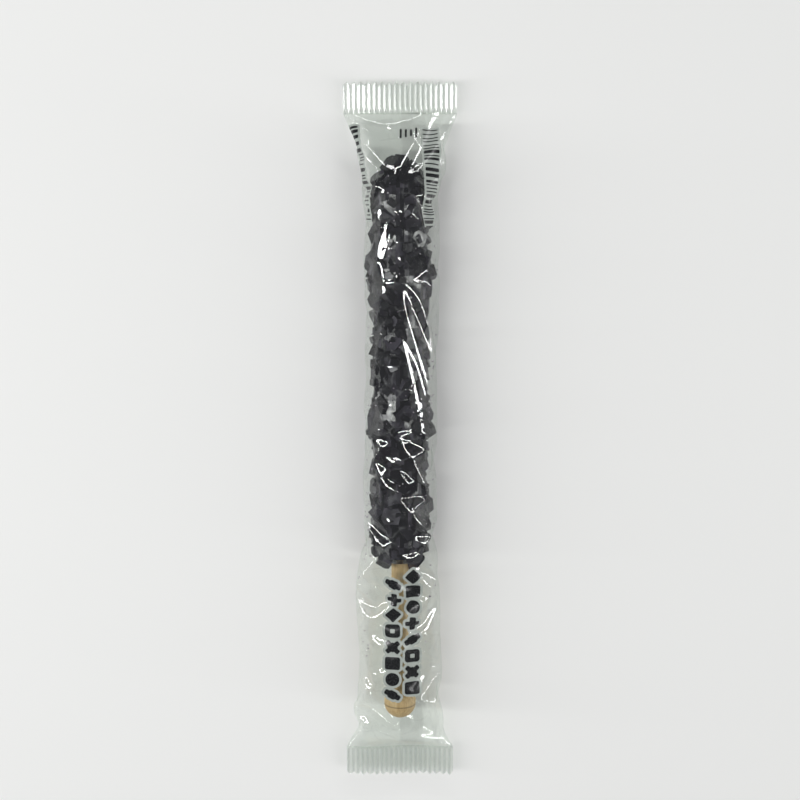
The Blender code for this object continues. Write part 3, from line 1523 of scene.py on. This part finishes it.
    def threads(self) -> list[Threads]:
        """The film's inner links: round it, along it, aslant and, against bending, over two.

        Returns:
            The sets in the order in which they pull.
        """
        rows, columns = self.rows, self.columns
        index = np.arange(rows * columns).reshape(rows, columns)
        past_head = self.places - PLAN.tip + self.slack_head
        past_foot = PLAN.foot + self.slack_foot - self.places
        past = np.clip(np.maximum(past_head, past_foot) / self.slack_fade, 0, 1)
        round_gap = np.full(rows, 2 * PLAN.lay_flat / columns)
        along_gap = 2 * PLAN.seal / (rows - 1) * (self.slack + self.end_slack * past)
        slant = np.hypot(round_gap, along_gap)
        row = np.arange(rows)
        column = np.arange(columns)
        sets = []

        def add(
            from_rows: np.ndarray,
            from_columns: np.ndarray,
            down: int,
            over: int,
            rest: np.ndarray,
            pull: float,
        ) -> None:
            """Adds one set of links.

            Args:
                from_rows: Rows that the links start from.
                from_columns: Columns that they start from.
                down: Rows that each link goes on.
                over: Columns that each link goes on.
                rest: Rest length in each row.
                pull: Share of the misfit that one sweep mends.
            """
            used = from_rows[from_rows + down < rows]
            near = index[np.ix_(used, from_columns)].ravel()
            far = index[np.ix_(used + down, (from_columns + over) % columns)].ravel()
            sets.append(Threads(near, far, np.repeat(rest[used], len(from_columns)), pull))

        # Links to the next point alternate, and links over two go in pairs, so none share a point
        for parity in (0, 1):
            pair = (2 * parity, 2 * parity + 1)
            every_other = row[row % 2 == parity]
            add(row, column[column % 2 == parity], 0, 1, round_gap, 1.0)
            add(every_other, column, 1, 0, along_gap, 1.0)
            add(every_other, column, 1, 1, slant, self.slant_pull)
            add(every_other, column, 1, -1, slant, self.slant_pull)
            pairs = column[np.isin(column % 4, pair)]
            add(row, pairs, 0, 2, 2 * round_gap, self.round_stiffness)
            pairs = row[np.isin(row % 4, pair)]
            add(pairs, column, 2, 0, 2 * along_gap, self.along_stiffness)
        return sets

    def settle(self, contents: list[bpy.types.Object]) -> None:
        """Lets the tube settle round its contents, and keeps the settled points.

        Args:
            contents: The crust and the wooden stick.
        """
        reach = self.map_contents(contents)
        start = self.start()
        now = start.reshape(-1, 3).copy()
        before = now.copy()
        sets = self.threads()
        for sweep in range(self.sweeps):
            motion = (now - before) * self.momentum
            before = now.copy()
            now = now + motion
            now[:, 2] -= self.weight
            now = self.swell(now, 1 - sweep / self.sweeps)
            for links in sets:
                gap = now[links.far] - now[links.near]
                length = np.maximum(np.sqrt((gap * gap).sum(axis=1)), TINY)
                change = gap * ((length - links.rest) / length * 0.5 * links.pull)[:, None]
                now[links.near] += change
                now[links.far] -= change
            self.keep_outside(now, before, reach)
            self.keep_apart(now)
            held = now.reshape(start.shape)
            held[0] = start[0]
            held[-1] = start[-1]
        self.points = self.finer(now.reshape(start.shape))

    def swell(self, now: np.ndarray, share: float) -> np.ndarray:
        """Pushes the film outwards as the air in the bag does.

        Args:
            now: The film's points.
            share: Share of the full push.

        Returns:
            The moved points.
        """
        grid = now.reshape(self.rows, self.columns, 3)
        across = np.roll(grid, -1, 1) - np.roll(grid, 1, 1)
        inward = unit(np.cross(across, np.gradient(grid, axis=0)))
        return now - (inward * self.swelling * share).reshape(-1, 3)

    def keep_outside(self, now: np.ndarray, before: np.ndarray, reach: ReachMap) -> None:
        """Moves points in place off the contents and the surface under the bag.

        Args:
            now: The film's points.
            before: The same points a sweep ago. Those that touch stop sliding.
            reach: How far the contents reach.
        """
        x, z = now[:, 0], now[:, 2] - PLAN.axis
        radius = np.sqrt(x * x + z * z)
        least = reach.at(np.arctan2(z, x), now[:, 1])
        least = np.where(least > 0, least + self.clearance, 0)
        inside = radius < least
        push = np.where(inside, least / np.maximum(radius, TINY), 1.0)
        now[:, 0] = x * push
        now[:, 2] = z * push + PLAN.axis
        before[inside, 1] = now[inside, 1]
        low = now[:, 2] < self.lowest
        now[low, 2] = self.lowest
        before[low] = now[low]

    def keep_apart(self, now: np.ndarray) -> None:
        """Moves points in place so that the upper film stays over the lower.

        Args:
            now: The film's points.
        """
        grid = now.reshape(self.rows, self.columns, 3)
        top = np.arange(1, self.columns // 2)
        below = -top % self.columns
        upper = grid[:, top, 2]
        lower = grid[:, below, 2]
        miss = np.maximum(self.layer_gap - (upper - lower), 0) / 2
        grid[:, top, 2] = upper + miss
        grid[:, below, 2] = lower - miss

    @staticmethod
    def finer(grid: np.ndarray) -> np.ndarray:
        """Doubles the grid both ways along smooth curves through its points.

        Args:
            grid: Rows and columns of points.

        Returns:
            The finer grid.
        """

        def between(points: np.ndarray, axis: int, closed: bool) -> np.ndarray:
            """Finds points half-way between neighbours, by a cubic through four.

            Args:
                points: The grid.
                axis: The direction to go in.
                closed: Whether the grid joins up that way.

            Returns:
                One new point after each.
            """
            before, after, next_after = (np.roll(points, shift, axis) for shift in (1, -1, -2))
            if not closed:
                before[0] = points[0]
                after[-1] = points[-1]
                next_after[-2:] = points[-1]
            return (9 * (points + after) - before - next_after) / 16

        rows, columns, _ = grid.shape
        wide = np.zeros((rows, columns * 2, 3))
        wide[:, ::2] = grid
        wide[:, 1::2] = between(grid, 1, True)
        tall = np.zeros((rows * 2 - 1, columns * 2, 3))
        tall[::2] = wide
        tall[1::2] = between(wide, 0, False)[:-1]
        return tall

    def outward(self) -> np.ndarray:
        """Unit normals of the settled film, pointing out of the bag."""
        across = np.roll(self.points, -1, 1) - np.roll(self.points, 1, 1)
        return -unit(np.cross(across, np.gradient(self.points, axis=0)))

    def lift(
        self, across: np.ndarray, along: np.ndarray, offset: np.ndarray | float
    ) -> np.ndarray:
        """Finds places on the settled film or just off it.

        Args:
            across: Distances round the film from the middle of its top, positive to the right.
            along: Distances along the film from the bag's middle.
            offset: How far outside the film, negative for inside.

        Returns:
            A point for each, as an array one dimension deeper.
        """
        rows, columns, _ = self.points.shape
        column = columns / 4 - across * columns / (2 * PLAN.lay_flat)
        row = np.clip((along / (2 * PLAN.seal) + 0.5) * (rows - 1), 0, rows - SHORT_OF_LAST)
        left, low = np.floor(column).astype(int), np.floor(row).astype(int)
        over, up = (column - left)[..., None], (row - low)[..., None]
        left, right = left % columns, (left + 1) % columns

        def blend(grid: np.ndarray) -> np.ndarray:
            """Reads a grid between its points.

            Args:
                grid: One vector for each point of the film.

            Returns:
                The vector at each place asked for.
            """
            near = grid[low, left] * (1 - over) + grid[low, right] * over
            far = grid[low + 1, left] * (1 - over) + grid[low + 1, right] * over
            return near * (1 - up) + far * up

        rise = np.broadcast_to(offset, across.shape)[..., None]
        return blend(self.points) + blend(self.outward()) * rise

    def creases(self) -> np.ndarray:
        """Measures how sharply the film bends at each point.

        Returns:
            A value for each point, from 0 on flat film to 1 on a tight fold.
        """
        normal = self.outward()
        bend = np.zeros(normal.shape[:2])
        for axis in (0, 1):
            bend = np.maximum(bend, 1 - (normal * np.roll(normal, 1, axis)).sum(axis=2))
        return np.clip((bend - self.crease_from) / self.crease_over, 0, 1)

    def skin(self) -> bpy.types.Object:
        """Makes the settled tube a mesh with its creases marked.

        Returns:
            The film tube, not yet dressed.
        """
        rows, columns, _ = self.points.shape
        faces = []
        for row in range(rows - 1):
            for column in range(columns):
                near = row * columns + column
                after = row * columns + (column + 1) % columns
                faces.append((near, after, after + columns, near + columns))
        tube = from_points("film_tube", self.points.reshape(-1, 3), faces)
        mark_creases(tube, self.creases())
        return tube

    def dress(self, tube: bpy.types.Object) -> bpy.types.Object:
        """Finishes the tube as cast film.

        Args:
            tube: The film tube.

        Returns:
            The same tube.
        """
        return fit_out(tube, self.finish.material())

    def build(self, contents: list[bpy.types.Object]) -> bpy.types.Object:
        """Settles the tube round its contents and dresses it.

        Args:
            contents: The crust and the wooden stick.

        Returns:
            The dressed tube.
        """
        self.settle(contents)
        return self.dress(self.skin())


def thin_sheet(name: str, lower: np.ndarray, upper: np.ndarray) -> bpy.types.Object:
    """Closes two equal grids of points into one thin sheet.

    Args:
        name: The object's name.
        lower: Rows and columns of points on one side.
        upper: The same on the other side.

    Returns:
        The sheet, smooth on its faces.
    """
    rows, columns, _ = lower.shape
    count = rows * columns
    faces = []
    for row in range(rows - 1):
        for column in range(columns - 1):
            a = row * columns + column
            b, c, d = a + 1, a + columns + 1, a + columns
            faces.append((d, c, b, a))
            faces.append((a + count, b + count, c + count, d + count))
    rim = [(0, column) for column in range(columns)]
    rim += [(row, columns - 1) for row in range(1, rows)]
    rim += [(rows - 1, column) for column in range(columns - 2, -1, -1)]
    rim += [(row, 0) for row in range(rows - 2, 0, -1)]
    for near, far in zip(rim, rim[1:] + rim[:1]):
        a, b = near[0] * columns + near[1], far[0] * columns + far[1]
        faces.append((a, b, b + count, a + count))
    return from_points(name, np.concatenate([lower.reshape(-1, 3), upper.reshape(-1, 3)]), faces)


class BagEnd(Enum):
    """The two ends of the bag, with the direction in which each one lies."""

    HEAD = 1
    TAIL = -1


@dataclass
class EndSeal:
    """One end of the bag: both films welded flat, ribbed by the jaws, and cut to fine teeth."""

    end: BagEnd
    rib_pitch: float = 1.5 * MM
    rib_depth: float = 0.28 * MM
    rib_start: float = 0.3 * MM
    rib_rise: float = 0.8 * MM
    # How narrow the painted highlights on the rib tops are, as the power that their wave is raised
    # to
    rib_highlight_power: int = 2
    thickness: float = 0.1 * MM
    overlap: float = 0.4 * MM
    points_a_tooth: int = 16
    rows: int = 24
    finish: CastFilm = WELDED_FILM

    def weld(self, half_width: float) -> bpy.types.Object:
        """Makes the welded end as one thin sheet.

        Args:
            half_width: Half of the tube's width where it meets the weld.

        Returns:
            The seal, not yet dressed.
        """
        across = np.linspace(-half_width, half_width, PLAN.teeth * self.points_a_tooth + 1)
        share_across = (across + half_width) / (2 * half_width)
        tooth = np.abs(share_across * PLAN.teeth % 1 * 2 - 1)
        cut = PLAN.end - PLAN.tooth_depth * tooth
        start = PLAN.seal - self.overlap
        along = start + (cut[None, :] - start) * np.linspace(0, 1, self.rows)[:, None]
        x = np.broadcast_to(across, along.shape)
        y = self.end.value * along
        wave = np.sin(math.tau * x / self.rib_pitch)
        rise = np.clip((along - PLAN.seal - self.rib_start) / self.rib_rise, 0, 1)
        middle = np.vectorize(PLAN.middle)(y) + PLAN.curl(x, y) + rise * self.rib_depth / 2 * wave
        half = self.thickness / 2
        lower = np.stack([x, y, middle - half], axis=2)
        upper = np.stack([x, y, middle + half], axis=2)
        if self.end is BagEnd.TAIL:
            lower, upper = upper, lower
        seal = thin_sheet(f"{self.end.name.lower()}_seal", lower, upper)
        # The rib tops are painted pale, as highlights that show whatever the lamps do
        painted_rib_highlight = (0.5 + 0.5 * wave) ** self.rib_highlight_power * (rise > 0)
        mark_creases(seal, np.tile(painted_rib_highlight.ravel(), 2))
        return seal

    def dress(self, seal: bpy.types.Object) -> bpy.types.Object:
        """Finishes the seal as welded film.

        Args:
            seal: The seal.

        Returns:
            The same seal.
        """
        return fit_out(seal, self.finish.material())

    def build(self, half_width: float) -> bpy.types.Object:
        """Welds the end and dresses it.

        Args:
            half_width: Half of the tube's width where it meets the weld.

        Returns:
            The dressed seal.
        """
        return self.dress(self.weld(half_width))


@dataclass
class BackSeam:
    """The seam down the bag's back: the tube's two edges welded face to face and folded flat."""

    tube: FilmTube
    width: float = 7.5 * MM
    across_points: int = 19
    along_points: int = 561
    rib_pitch: float = 1.4 * MM
    rib_depth: float = 0.07 * MM
    thickness: float = 0.08 * MM
    gap: float = 0.07 * MM
    lowest: float = 0.03 * MM
    finish: CastFilm = FOLDED_FILM

    def fold(self) -> bpy.types.Object:
        """Lays the seam on the settled film's underside.

        Returns:
            The seam, not yet dressed.
        """
        middle = PLAN.lay_flat
        across = np.linspace(middle - self.width, middle, self.across_points)
        along = np.linspace(-PLAN.seal, PLAN.seal, self.along_points)
        along, across = np.meshgrid(along, across, indexing="ij")
        ribs = self.rib_depth / 2 * (1 + np.sin(math.tau * along / self.rib_pitch))
        near = self.tube.lift(across, along, self.gap + ribs)
        far = self.tube.lift(across, along, self.gap + ribs + self.thickness)
        far[:, :, 2] = np.maximum(far[:, :, 2], self.lowest)
        return thin_sheet("back_seam", near, far)

    def dress(self, seam: bpy.types.Object) -> bpy.types.Object:
        """Finishes the seam as folded film.

        Args:
            seam: The seam.

        Returns:
            The same seam.
        """
        return fit_out(seam, self.finish.material())

    def build(self) -> bpy.types.Object:
        """Folds the seam flat and dresses it."""
        return self.dress(self.fold())


@dataclass(frozen=True)
class Box:
    """A turned box with round corners, flat on the film. All sizes are in millimetres.

    A hole is cut out of what comes before it.
    """

    half_width: float
    half_length: float
    corner: float
    turn: float = 0.0
    hole: bool = False

    def reach(self, x: np.ndarray, y: np.ndarray, mirrored: bool = False) -> np.ndarray:
        """Signed distance to the box.

        Args:
            x: Places across from its middle.
            y: Places along from its middle.
            mirrored: Whether it turns the other way.

        Returns:
            The distance, negative inside.
        """
        turn = math.radians(-self.turn if mirrored else self.turn)
        cosine, sine = math.cos(turn), math.sin(turn)
        u = np.abs(x * cosine + y * sine) - self.half_width + self.corner
        v = np.abs(y * cosine - x * sine) - self.half_length + self.corner
        outside = np.hypot(np.maximum(u, 0), np.maximum(v, 0))
        return outside + np.minimum(np.maximum(u, v), 0) - self.corner


class Motif(Enum):
    """Simple shapes of the print, each of one or more boxes."""

    BLOCK = (Box(2.3, 1.9, 0.6),)
    FRAME = (Box(2.3, 1.9, 0.9), Box(0.7, 0.6, 0.1, hole=True))
    LOZENGE = (Box(1.8, 1.8, 0.3, 45),)
    DISC = (Box(2.1, 2.0, 1.95),)
    SLANT = (Box(2.6, 0.85, 0.5, 28), Box(1.2, 1.3, 0.4, 28))
    SPARK = (Box(2.5, 0.75, 0.4, 40), Box(2.5, 0.75, 0.4, -40), Box(1.2, 1.2, 0.2, 45))
    PAIR = (Box(0.95, 1.9, 0.4), Box(2.3, 0.6, 0.3))

    def reach(self, x: np.ndarray, y: np.ndarray, mirrored: bool) -> np.ndarray:
        """Signed distance to the shape.

        Args:
            x: Places across from its middle, in millimetres.
            y: Places along from its middle, in millimetres.
            mirrored: Whether it turns the other way.

        Returns:
            The distance, negative inside.
        """
        whole = np.full(x.shape, FAR)
        for box in self.value:
            part = box.reach(x, y, mirrored)
            whole = np.maximum(whole, -part) if box.hole else np.minimum(whole, part)
        return whole


@dataclass(frozen=True)
class BarStrip:
    """A strip of bars that run across it, some thick and some thin. Sizes are in millimetres."""

    left: float
    right: float
    low: float
    high: float
    slope: float
    seed: int
    thicknesses: tuple[float, ...] = (0.35, 0.35, 0.7, 1.0)
    gaps: tuple[float, ...] = (0.4, 0.6, 0.9)
    corner: float = 0.05

    def reach(self, x: np.ndarray, y: np.ndarray) -> np.ndarray:
        """Signed distance to the bars.

        Args:
            x: Places across the film.
            y: Places along it.

        Returns:
            The distance, negative inside.
        """
        chance = random.Random(self.seed)
        whole = np.full(x.shape, FAR)
        place = self.low
        while place < self.high:
            thickness = chance.choice(self.thicknesses)
            bar = Box((self.right - self.left) / 2, thickness / 2, self.corner)
            middle = (self.left + self.right) / 2 + self.slope * (place - self.low)
            whole = np.minimum(whole, bar.reach(x - middle, y - place - thickness / 2))
            place += thickness + chance.choice(self.gaps)
        return whole


@dataclass(frozen=True)
class PrintPatch:
    """A part of the film that takes print, as a fine grid of places in millimetres."""

    across: tuple[float, float]
    along: tuple[float, float]
    step: float

    def grid(self) -> tuple[np.ndarray, np.ndarray]:
        """Places across and along at each point of the grid."""
        across, along = (np.arange(*span, self.step) for span in (self.across, self.along))
        return tuple(np.meshgrid(across, along))


@dataclass
class FilmPrint:
    """The print on the film's front: two rows of simple black shapes in a pale outline, and bars.

    Each shape is cut out of the settled film's own surface, so it follows every fold. Sizes are
    in millimetres up to the last three: how far the two inks lie off the film, and how close
    two points are before they count as one.
    """

    tube: FilmTube
    rows: tuple[tuple[Motif, ...], ...] = (
        (
            Motif.SLANT,
            Motif.DISC,
            Motif.BLOCK,
            Motif.SPARK,
            Motif.FRAME,
            Motif.LOZENGE,
            Motif.PAIR,
            Motif.SLANT,
        ),
        (
            Motif.BLOCK,
            Motif.SPARK,
            Motif.FRAME,
            Motif.SLANT,
            Motif.PAIR,
            Motif.DISC,
            Motif.BLOCK,
            Motif.LOZENGE,
        ),
    )
    middle: float = 0.6
    row_gap: float = 3.05
    first: float = -74.0
    pace: float = 4.9
    stagger: float = 1.1
    outline: float = 0.75
    shapes_patch: PrintPatch = PrintPatch((-8, 9.5), (-80, -32), 0.25)
    strips: tuple[BarStrip, ...] = (
        BarStrip(-13.9, -10.4, 66, 93, -0.07, 3),
        BarStrip(9.0, 13.6, 64, 93, -0.09, 8),
    )
    band: float = 0.6
    # Short marks in a row between the strips
    mark_count: int = 4
    mark_place: tuple[float, float] = (0.2, 91.5)
    mark_pace: float = 1.5
    marks: tuple[Box, ...] = (Box(0.3, 1.6, 0.2), Box(0.3, 1.4, 0.2), Box(0.3, 1.2, 0.2))
    bars_patch: PrintPatch = PrintPatch((-17, 17), (64, 97), 0.25)
    under_ink: float = 0.05 * MM
    over_ink: float = 0.09 * MM
    merge: float = 0.004 * MM

    def motifs(self, x: np.ndarray, y: np.ndarray) -> np.ndarray:
        """Signed distance to the two rows of shapes.

        Args:
            x: Places across the film.
            y: Places along it.

        Returns:
            The distance, negative inside.
        """
        whole = np.full(x.shape, FAR)
        for side, row in zip((-1, 1), self.rows):
            across = x - self.middle - side * self.row_gap
            for index, motif in enumerate(row):
                along = y - self.first - self.pace * index - self.stagger * side
                whole = np.minimum(whole, motif.reach(across, along, side < 0))
        return whole

    def short_marks(self, x: np.ndarray, y: np.ndarray) -> np.ndarray:
        """Signed distance to the short marks.

        Args:
            x: Places across the film.
            y: Places along it.

        Returns:
            The distance, negative inside.
        """
        whole = np.full(x.shape, FAR)
        for index in range(self.mark_count):
            mark = self.marks[index % len(self.marks)]
            across = x - self.mark_place[0] - self.mark_pace * index
            whole = np.minimum(whole, mark.reach(across, y - self.mark_place[1]))
        return whole

    def cut(
        self, name: str, reach: np.ndarray, patch: PrintPatch, offset: float
    ) -> bpy.types.Object:
        """Cuts out the part of the film where a signed distance is negative.

        Args:
            name: The object's name.
            reach: The signed distance at each point of the patch.
            patch: The part of the film.
            offset: How far outside the film the ink lies, in metres.

        Returns:
            The printed field, not yet dressed.
        """
        x, y = patch.grid()
        numbers: dict[tuple[int, ...], int] = {}
        flat: list[tuple[float, float]] = []
        faces = []

        def point(key: tuple[int, ...], place: tuple[float, float]) -> int:
            """Finds the number of a point, and adds the point if it is new.

            Args:
                key: What tells it from the others.
                place: Where it is on the flat film.

            Returns:
                Its number.
            """
            if key not in numbers:
                numbers[key] = len(flat)
                flat.append(place)
            return numbers[key]

        inside = reach < 0
        near = inside[:-1, :-1] | inside[1:, :-1] | inside[:-1, 1:] | inside[1:, 1:]
        for row, column in np.argwhere(near):
            corners = [(row, column), (row, column + 1), (row + 1, column + 1), (row + 1, column)]
            face = []
            for here, there in zip(corners, corners[1:] + corners[:1]):
                value, other = reach[here], reach[there]
                if value < 0:
                    face.append(point((*here, 0, 0), (x[here], y[here])))
                if (value < 0) != (other < 0):
                    share = value / (value - other)
                    across = x[here] + (x[there] - x[here]) * share
                    along = y[here] + (y[there] - y[here]) * share
                    face.append(point((*min(here, there), *max(here, there)), (across, along)))
            faces.append(tuple(face))
        across, along = np.array(flat).T * MM
        printed = from_points(name, self.tube.lift(across, along, offset), faces)
        clean = bmesh.new()
        clean.from_mesh(printed.data)
        bmesh.ops.remove_doubles(clean, verts=clean.verts, dist=self.merge)
        clean.to_mesh(printed.data)
        clean.free()
        return printed

    def fields(self) -> list[tuple[bpy.types.Object, Ink]]:
        """Prints every field of colour.

        Returns:
            Each field with its ink, not yet dressed.
        """
        shapes = self.motifs(*self.shapes_patch.grid())
        x, y = self.bars_patch.grid()
        bars = np.minimum.reduce([strip.reach(x, y) for strip in self.strips])
        marked = np.minimum(bars, self.short_marks(x, y))
        layers = (
            ("print_outline", shapes - self.outline, self.shapes_patch, Ink.WHITE),
            ("print_shapes", shapes, self.shapes_patch, Ink.BLACK),
            ("print_band", bars - self.band, self.bars_patch, Ink.WHITE),
            ("print_bars", marked, self.bars_patch, Ink.BLACK),
        )
        printed = []
        for name, reach, patch, ink in layers:
            offset = self.under_ink if ink is Ink.WHITE else self.over_ink
            printed.append((self.cut(name, reach, patch, offset), ink))
        return printed

    def dress(self, printed: list[tuple[bpy.types.Object, Ink]]) -> list[bpy.types.Object]:
        """Finishes each field in its ink.

        Args:
            printed: The fields with their inks.

        Returns:
            The fields.
        """
        inks = {ink: PrintedInk(ink).material() for ink in Ink}
        return [fit_out(piece, inks[ink]) for piece, ink in printed]

    def build(self) -> list[bpy.types.Object]:
        """Prints the fields and dresses them."""
        return self.dress(self.fields())


@dataclass
class SugarCrumbs:
    """Small broken crystals that have come off the crust and lie loose inside the film."""

    tube: FilmTube
    count: int = 190
    on_top: int = 70
    top_scale: float = 0.7
    top_reach: float = 12 * MM
    seed: int = 31
    size: tuple[float, float] = (0.25 * MM, 0.75 * MM)
    second_side: tuple[float, float] = (0.6, 1.0)
    third_side: tuple[float, float] = (0.5, 0.9)
    # Least, most and usual distance from the middle of the lower film
    beside: tuple[float, float, float] = (7.5 * MM, 14.5 * MM, 11 * MM)
    last: float = -88 * MM
    inset: float = 0.55
    finish: BrokenSugar = BrokenSugar()

    def scatter(self) -> bpy.types.Object:
        """Scatters the crumbs on the lower film, most at the candy's foot, and under the upper.

        Returns:
            All crumbs as one object, not yet dressed.
        """
        chance = random.Random(self.seed)
        heap = bmesh.new()
        for index in range(self.count):
            along = chance.triangular(self.last, PLAN.tip, PLAN.foot)
            side = chance.choice((-1, 1))
            size = chance.uniform(*self.size)
            across = PLAN.lay_flat - side * chance.triangular(*self.beside)
            if index < self.on_top:
                along = chance.uniform(PLAN.foot, PLAN.tip)
                across = side * chance.uniform(0, self.top_reach)
                size *= self.top_scale
            inside = -self.inset * size
            place = self.tube.lift(np.array([across]), np.array([along]), inside)[0]
            angle = chance.uniform(0, math.tau)
            turn = Matrix.Rotation(angle, 4, Vector([chance.gauss(0, 1) for _ in range(3)]))
            second, third = chance.uniform(*self.second_side), chance.uniform(*self.third_side)
            shape = Matrix.Diagonal((size, size * second, size * third, 1))
            matrix = Matrix.Translation(Vector(place)) @ turn @ shape
            bmesh.ops.create_icosphere(heap, subdivisions=1, radius=0.5, matrix=matrix)
        return from_bmesh("sugar_crumbs", heap, bpy.context.scene.collection)

    def dress(self, crumbs: bpy.types.Object) -> bpy.types.Object:
        """Finishes the crumbs as broken sugar.

        Args:
            crumbs: All crumbs.

        Returns:
            The same crumbs.
        """
        return fit_out(crumbs, self.finish.material())

    def build(self) -> bpy.types.Object:
        """Scatters the crumbs and dresses them."""
        return self.dress(self.scatter())


@dataclass(frozen=True)
class SoftBox:
    """One soft lamp: its middle, its width and height, and its power."""

    name: str
    place: tuple[float, float, float]
    size: tuple[float, float]
    watts: float

    def hang(self, aim: Vector) -> None:
        """Adds the lamp to the scene.

        Args:
            aim: The point that it faces.
        """
        data = bpy.data.lights.new(self.name, "AREA")
        data.shape = "RECTANGLE"
        data.size, data.size_y = self.size
        data.energy = self.watts
        lamp = bpy.data.objects.new(self.name, data)
        lamp.location = self.place
        lamp.rotation_euler = (Vector(self.place) - aim).to_track_quat("Z", "Y").to_euler()
        bpy.context.scene.collection.objects.link(lamp)


@dataclass
class Studio:
    """A pale card floor, soft lamps and the camera."""

    distance: float = 555 * MM
    tilt: float = 12.0
    aim: tuple[float, float, float] = (0.0, 0.0137, 0.009)
    field_of_view: float = 24.2
    sensor: float = 36.0
    nearest: float = 0.01
    floor_half: float = 0.5
    wall: str = "#dfe1e2"
    ceiling: str = "#5c5e60"
    # Height of the gaze, as its rise over one metre, where the walls start and end to darken
    wall_top: float = 0.02
    ceiling_edge: float = 0.2
    lamps: tuple[SoftBox, ...] = (
        SoftBox("left_strip", (-0.74, 0.0, 0.64), (0.05, 1.3), 8.2),
        SoftBox("right_strip", (0.83, -0.16, 0.58), (0.05, 1.45), 6.4),
        SoftBox("head_strip", (0.1, 0.99, 0.54), (0.8, 0.06), 2.5),
    )
    finish: MattCard = MattCard()

    def camera(self) -> None:
        """Looks down on the stick with its candy end up in the picture, as in the photograph."""
        data = bpy.data.cameras.new("camera")
        data.sensor_width = self.sensor
        data.lens = self.sensor / 2 / math.tan(math.radians(self.field_of_view / 2))
        data.clip_start = self.nearest
        camera = bpy.data.objects.new("camera", data)
        bpy.context.scene.collection.objects.link(camera)
        tilt = math.radians(self.tilt)
        away = Vector((0, math.sin(tilt), math.cos(tilt)))
        up = Vector((0, math.cos(tilt), -math.sin(tilt)))
        camera.location = Vector(self.aim) + away * self.distance
        camera.rotation_euler = Matrix((up.cross(away), up, away)).transposed().to_euler()
        bpy.context.scene.camera = camera

    def surroundings(self) -> None:
        """Pale walls low down and a dim ceiling, so that dark candy stays dark from above."""
        world = bpy.data.worlds.new("studio")
        world.use_nodes = True
        tree = world.node_tree
        gaze = add_node(tree, "ShaderNodeTexCoord", {}).outputs["Generated"]
        height = add_node(tree, "ShaderNodeSeparateXYZ", {0: gaze}).outputs["Z"]
        rise = add_node(
            tree,
            "ShaderNodeMapRange",
            {"Value": height, "From Min": self.wall_top, "From Max": self.ceiling_edge},
        )
        colour = add_node(
            tree,
            "ShaderNodeMix",
            {
                "Factor": rise.outputs["Result"],
                FIRST_COLOUR: linear(self.wall),
                SECOND_COLOUR: linear(self.ceiling),
            },
            data_type="RGBA",
        )
        tree.links.new(colour.outputs[MIXED_COLOUR], tree.nodes["Background"].inputs["Color"])
        bpy.context.scene.world = world

    def floor(self) -> None:
        """Lays the card under the stick."""
        half = self.floor_half
        corners = [(-half, -half, 0), (half, -half, 0), (half, half, 0), (-half, half, 0)]
        card = from_points("floor", np.array(corners), [(0, 1, 2, 3)], smooth=False)
        card.data.materials.append(self.finish.material())

    def build(self) -> None:
        """Sets up floor, lamps, surroundings and camera."""
        self.floor()
        for lamp in self.lamps:
            lamp.hang(Vector((0, 0, PLAN.axis)))
        self.surroundings()
        bpy.context.scene.view_settings.view_transform = "Standard"
        self.camera()


def main() -> None:
    """Builds every piece in order, reports each one, and sets up the studio."""
    logging.basicConfig(level=logging.INFO, format="%(message)s")
    pieces = [CandyCrust().build(), WoodenStick().build()]
    tube = FilmTube()
    pieces.append(tube.build(list(pieces)))
    for end in BagEnd:
        pieces.append(EndSeal(end).build(tube.seal_half_width))
    pieces.append(BackSeam(tube).build())
    pieces += FilmPrint(tube).build()
    pieces.append(SugarCrumbs(tube).build())
    for piece in pieces:
        log.info("%s: %d faces", piece.name, len(piece.data.polygons))
    Studio().build()


if __name__ == "__main__":
    main()
